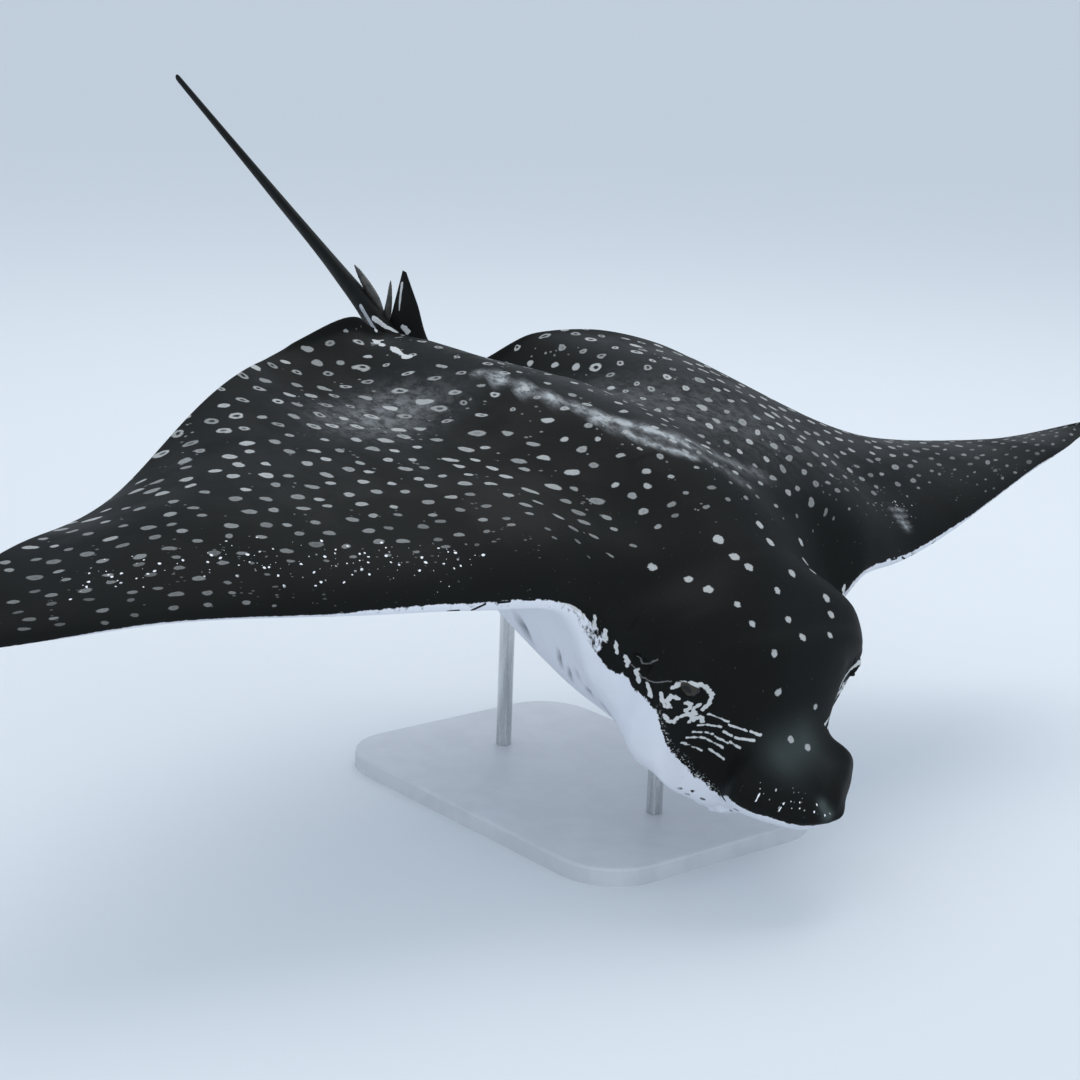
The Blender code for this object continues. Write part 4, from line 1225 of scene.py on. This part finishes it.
def barb_tree():
    """Barbs set along the edges of a spine, each leaning back toward the root."""
    tree = bpy.data.node_groups.new("spine_barbs", "GeometryNodeTree")
    for name, kind in (
        ("Edges", "Geometry"), ("Barbs per Edge", "Int"), ("Barb Length", "Float"), ("Barb Radius", "Float"),
        ("Look", "Material"),
    ):
        tree.interface.new_socket(name, in_out="INPUT", socket_type="NodeSocket" + kind)
    tree.interface.new_socket("Barbs", in_out="OUTPUT", socket_type="NodeSocketGeometry")
    graph = Graph(tree)
    given = graph.node("NodeGroupInput").outputs
    edges = graph.node("GeometryNodeMeshToCurve")
    graph.feed(edges.inputs["Mesh"], given["Edges"])
    places = graph.node("GeometryNodeResampleCurve", mode="COUNT")
    graph.feed(places.inputs["Curve"], edges.outputs["Curve"])
    graph.feed(places.inputs["Count"], given["Barbs per Edge"])
    barb = graph.node("GeometryNodeMeshCone")
    for name, value in (
        ("Vertices", 7), ("Radius Top", 0.0), ("Radius Bottom", given["Barb Radius"]),
        ("Depth", given["Barb Length"]),
    ):
        graph.feed(barb.inputs[name], value)
    outward = graph.node("GeometryNodeInputNamedAttribute", data_type="FLOAT_VECTOR")
    graph.feed(outward.inputs["Name"], "outward")
    tangent = graph.node("GeometryNodeInputTangent").outputs["Tangent"]
    turn = graph.node("FunctionNodeAlignRotationToVector", axis="Z")
    graph.feed(turn.inputs["Vector"], graph.vector("SUBTRACT", outward.outputs["Attribute"], tangent))
    uneven = graph.node("FunctionNodeRandomValue", data_type="FLOAT")
    for name, value in (("Min", 0.75), ("Max", 1.1)):
        graph.feed(next(s for s in uneven.inputs if s.name == name and s.enabled), value)
    graph.feed(uneven.inputs["Seed"], BARB_SEED)
    placed = graph.node("GeometryNodeInstanceOnPoints")
    for name, value in (
        ("Points", places.outputs["Curve"]), ("Instance", barb.outputs["Mesh"]),
        ("Rotation", turn.outputs["Rotation"]),
        ("Scale", next(s for s in uneven.outputs if s.enabled)),
    ):
        graph.feed(placed.inputs[name], value)
    real = graph.node("GeometryNodeRealizeInstances")
    graph.feed(real.inputs["Geometry"], placed.outputs["Instances"])
    coated = graph.node("GeometryNodeSetMaterial")
    graph.feed(coated.inputs["Geometry"], real.outputs["Geometry"])
    graph.feed(coated.inputs["Material"], given["Look"])
    graph.feed(graph.node("NodeGroupOutput").inputs["Barbs"], coated.outputs["Geometry"])
    return tree


def spine_barbs(name, edges, outward, material):
    """The barbs of one spine as a plain mesh, still on the flat ray; edges holds two rows of points."""
    rows = np.array(edges)
    count = rows.shape[1]
    links = [(row * count + k, row * count + k + 1) for row in range(2) for k in range(count - 1)]
    mesh = bpy.data.meshes.new(name + "_edges")
    mesh.from_pydata(rows.reshape(-1, 3).tolist(), links, [])
    carried = mesh.attributes.new("outward", "FLOAT_VECTOR", "POINT")
    carried.data.foreach_set("vector", np.repeat(np.array(outward, np.float32), count, axis=0).reshape(-1))
    holder = bpy.data.objects.new(name + "_edges", mesh)
    bpy.context.scene.collection.objects.link(holder)
    growth = holder.modifiers.new("barbs", "NODES")
    growth.node_group = BARBS
    values = {
        "Barbs per Edge": BARBS_PER_EDGE[name], "Barb Length": BARB_LENGTH, "Barb Radius": BARB_RADIUS,
        "Look": material,
    }
    for socket in BARBS.interface.items_tree:
        if socket.name in values:
            growth[socket.identifier] = values[socket.name]
    view = bpy.context.evaluated_depsgraph_get()
    barbs = bpy.data.meshes.new_from_object(holder.evaluated_get(view), depsgraph=view)
    holder.modifiers.remove(growth)
    bpy.data.objects.remove(holder)
    return barbs


def spine_material():
    material, graph, shader = new_material("spine_dentine")
    place = graph.node("ShaderNodeTexCoord").outputs["Object"]
    grain = graph.group(GRAIN, Place=place, Fine_Scale=900.0, Coarse_Scale=90.0, Coarse_Share=1.0)
    colour = graph.blend(grain["Patches"], (0.020, 0.020, 0.019, 1), (0.062, 0.057, 0.050, 1))
    graph.feed(shader["Base Color"], colour)
    shader["Roughness"].default_value = 0.42
    relief = graph.node("ShaderNodeBump")
    relief.inputs["Strength"].default_value = 0.3
    relief.inputs["Distance"].default_value = 0.0004
    graph.feed(relief.inputs["Height"], grain["Height"])
    graph.feed(shader["Normal"], relief.outputs["Normal"])
    return material


def spine_blade(name, stations, material):
    """One spine's blade, finer than its solid and closed at both ends."""
    places = np.array(stations)
    run = np.linspace(0, len(places) - 1, 41)
    y, z, half = (curve(run, np.arange(len(places)), places[:, k]) for k in range(3))
    angles = np.linspace(0, 2 * np.pi, 24, endpoint=False)
    standing = name == "tail_spine_short"
    bm = bmesh.new()
    rows = []
    for row_y, row_z, row_half in zip(y, z, half):
        flat = row_half * SPINE_FLATNESS * np.cos(angles)
        deep = row_half * np.sin(angles)
        zero = np.zeros_like(angles)
        offsets = np.stack([flat, deep, zero] if standing else [flat, zero, deep], 1)
        rows.append([bm.verts.new(point) for point in np.array([0, row_y, row_z]) + offsets])
    for near, far in zip(rows, rows[1:]):
        for k in range(len(angles)):
            after = (k + 1) % len(angles)
            bm.faces.new((near[k], near[after], far[after], far[k]))
    bm.faces.new(rows[0])
    bm.faces.new(rows[-1])
    out = np.array([0, 1, 0] if standing else [0, 0, 1])
    barbed = slice(8, 37)
    middle = np.stack([0 * y, y, z], 1)[barbed]
    edges = [middle + side * 0.9 * half[barbed, None] * out for side in (1, -1)]
    bm.from_mesh(spine_barbs(name, edges, [out, -out], material))
    place_points(bm, pose(np.array([vert.co[:] for vert in bm.verts])))
    bmesh.ops.recalc_face_normals(bm, faces=bm.faces)
    mesh = bpy.data.meshes.new(name + "_blade")
    bm.to_mesh(mesh)
    bm.free()
    mesh.shade_smooth()
    made = linked(name + "_blade", mesh, material)
    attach(made, "root")
    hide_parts(name)
    return made


SPINE_LOOK = spine_material()
BARBS = barb_tree()
for spine_name, spine_stations in SPINES.items():
    spine_blade(spine_name, spine_stations, SPINE_LOOK)

# The stand: a board of painted steel on the floor, and two bright rods that end in the belly.
def steel_material():
    material, graph, shader = new_material("rod_steel")
    place = graph.node("ShaderNodeTexCoord").outputs["Object"]
    brushed = graph.vector("MULTIPLY", place, (260.0, 260.0, 14.0))
    grain = graph.group(GRAIN, Place=brushed, Fine_Scale=6.0, Coarse_Scale=1.0, Coarse_Share=0.5)
    colour = graph.blend(grain["Patches"], (0.55, 0.56, 0.57, 1), (0.68, 0.69, 0.70, 1))
    graph.feed(shader["Base Color"], colour)
    graph.feed(shader["Roughness"], graph.ramp(grain["Height"], 0.4, 1.1, 0.20, 0.34))
    shader["Metallic"].default_value = 1.0
    return material


def board_material():
    material, graph, shader = new_material("board_paint")
    place = graph.node("ShaderNodeTexCoord").outputs["Object"]
    grain = graph.group(GRAIN, Place=place, Fine_Scale=1400.0, Coarse_Scale=30.0, Coarse_Share=0.2)
    colour = graph.blend(grain["Patches"], (0.55, 0.57, 0.60, 1), (0.60, 0.62, 0.65, 1))
    graph.feed(shader["Base Color"], colour)
    graph.feed(shader["Roughness"], graph.ramp(grain["Patches"], 0.0, 1.0, 0.40, 0.50))
    relief = graph.node("ShaderNodeBump")
    relief.inputs["Strength"].default_value = 0.3
    relief.inputs["Distance"].default_value = 0.0002
    graph.feed(relief.inputs["Height"], grain["Height"])
    graph.feed(shader["Normal"], relief.outputs["Normal"])
    return material


def wear(node_name, material):
    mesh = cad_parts[node_name].data
    mesh.materials.clear()
    mesh.materials.append(material)


wear("stand_base", board_material())
rod_steel = steel_material()
wear("stand_rod_front", rod_steel)
wear("stand_rod_back", rod_steel)

# The room: a plain pale floor, a broad soft lamp high over the ray and a pale sky all round.
FLOOR_HALF_SIZE = 80.0


def floor_plane():
    material, _, shader = new_material("studio_floor")
    shader["Base Color"].default_value = (0.74, 0.77, 0.79, 1)
    shader["Roughness"].default_value = 0.9
    mesh = bpy.data.meshes.new("studio_floor")
    half = FLOOR_HALF_SIZE
    corners = [(-half, -half, 0), (half, -half, 0), (half, half, 0), (-half, half, 0)]
    mesh.from_pydata(corners, [], [(0, 1, 2, 3)])
    linked("studio_floor", mesh, material)


def area_lamp(name, place, target, size, power, colour):
    lamp = bpy.data.lights.new(name, "AREA")
    lamp.shape = "DISK"
    lamp.size = size
    lamp.energy = power
    lamp.color = colour
    made = bpy.data.objects.new(name, lamp)
    made.location = place
    made.rotation_euler = (Vector(target) - Vector(place)).to_track_quat("-Z", "Y").to_euler()
    bpy.context.scene.collection.objects.link(made)


floor_plane()
area_lamp("overhead_softbox", (1.2, 1.0, 3.4), (0, 0, 0.3), 3.2, 45.0, (1.0, 0.99, 0.97))
area_lamp("front_fill", (-2.6, -3.4, 1.6), (0, 0, 0.3), 2.0, 22.0, (0.93, 0.97, 1.0))
world = bpy.data.worlds.new("studio_sky")
world.use_nodes = True
world.node_tree.nodes["Background"].inputs["Color"].default_value = (0.70, 0.78, 0.88, 1)
world.node_tree.nodes["Background"].inputs["Strength"].default_value = 1.0
bpy.context.scene.world = world
bpy.context.scene.view_settings.view_transform = "Standard"

# The camera: low in front of the ray's right wing, looking back along it, rolled two degrees.
CAMERA_AZIMUTH = -39.486
CAMERA_ELEVATION = 14.576
CAMERA_DISTANCE = 2.20
CAMERA_TARGET = (-0.1135, -0.0661, 0.2979)
CAMERA_ROLL = 2.103
CAMERA_VIEW = 26.0


def make_camera():
    azimuth, elevation, roll = np.radians([CAMERA_AZIMUTH, CAMERA_ELEVATION, CAMERA_ROLL])
    back = Vector((
        np.sin(azimuth) * np.cos(elevation), -np.cos(azimuth) * np.cos(elevation), np.sin(elevation)
    ))
    right = Vector((0, 0, 1)).cross(back).normalized()
    up = back.cross(right)
    rolled_right = right * np.cos(roll) + up * np.sin(roll)
    rolled_up = up * np.cos(roll) - right * np.sin(roll)
    lens = bpy.data.cameras.new("camera")
    lens.sensor_width = 36.0
    lens.angle = np.radians(CAMERA_VIEW)
    made = bpy.data.objects.new("camera", lens)
    turn = Matrix((rolled_right, rolled_up, back)).transposed().to_4x4()
    made.matrix_world = Matrix.Translation(Vector(CAMERA_TARGET) + back * CAMERA_DISTANCE) @ turn
    bpy.context.scene.collection.objects.link(made)
    bpy.context.scene.camera = made


make_camera()
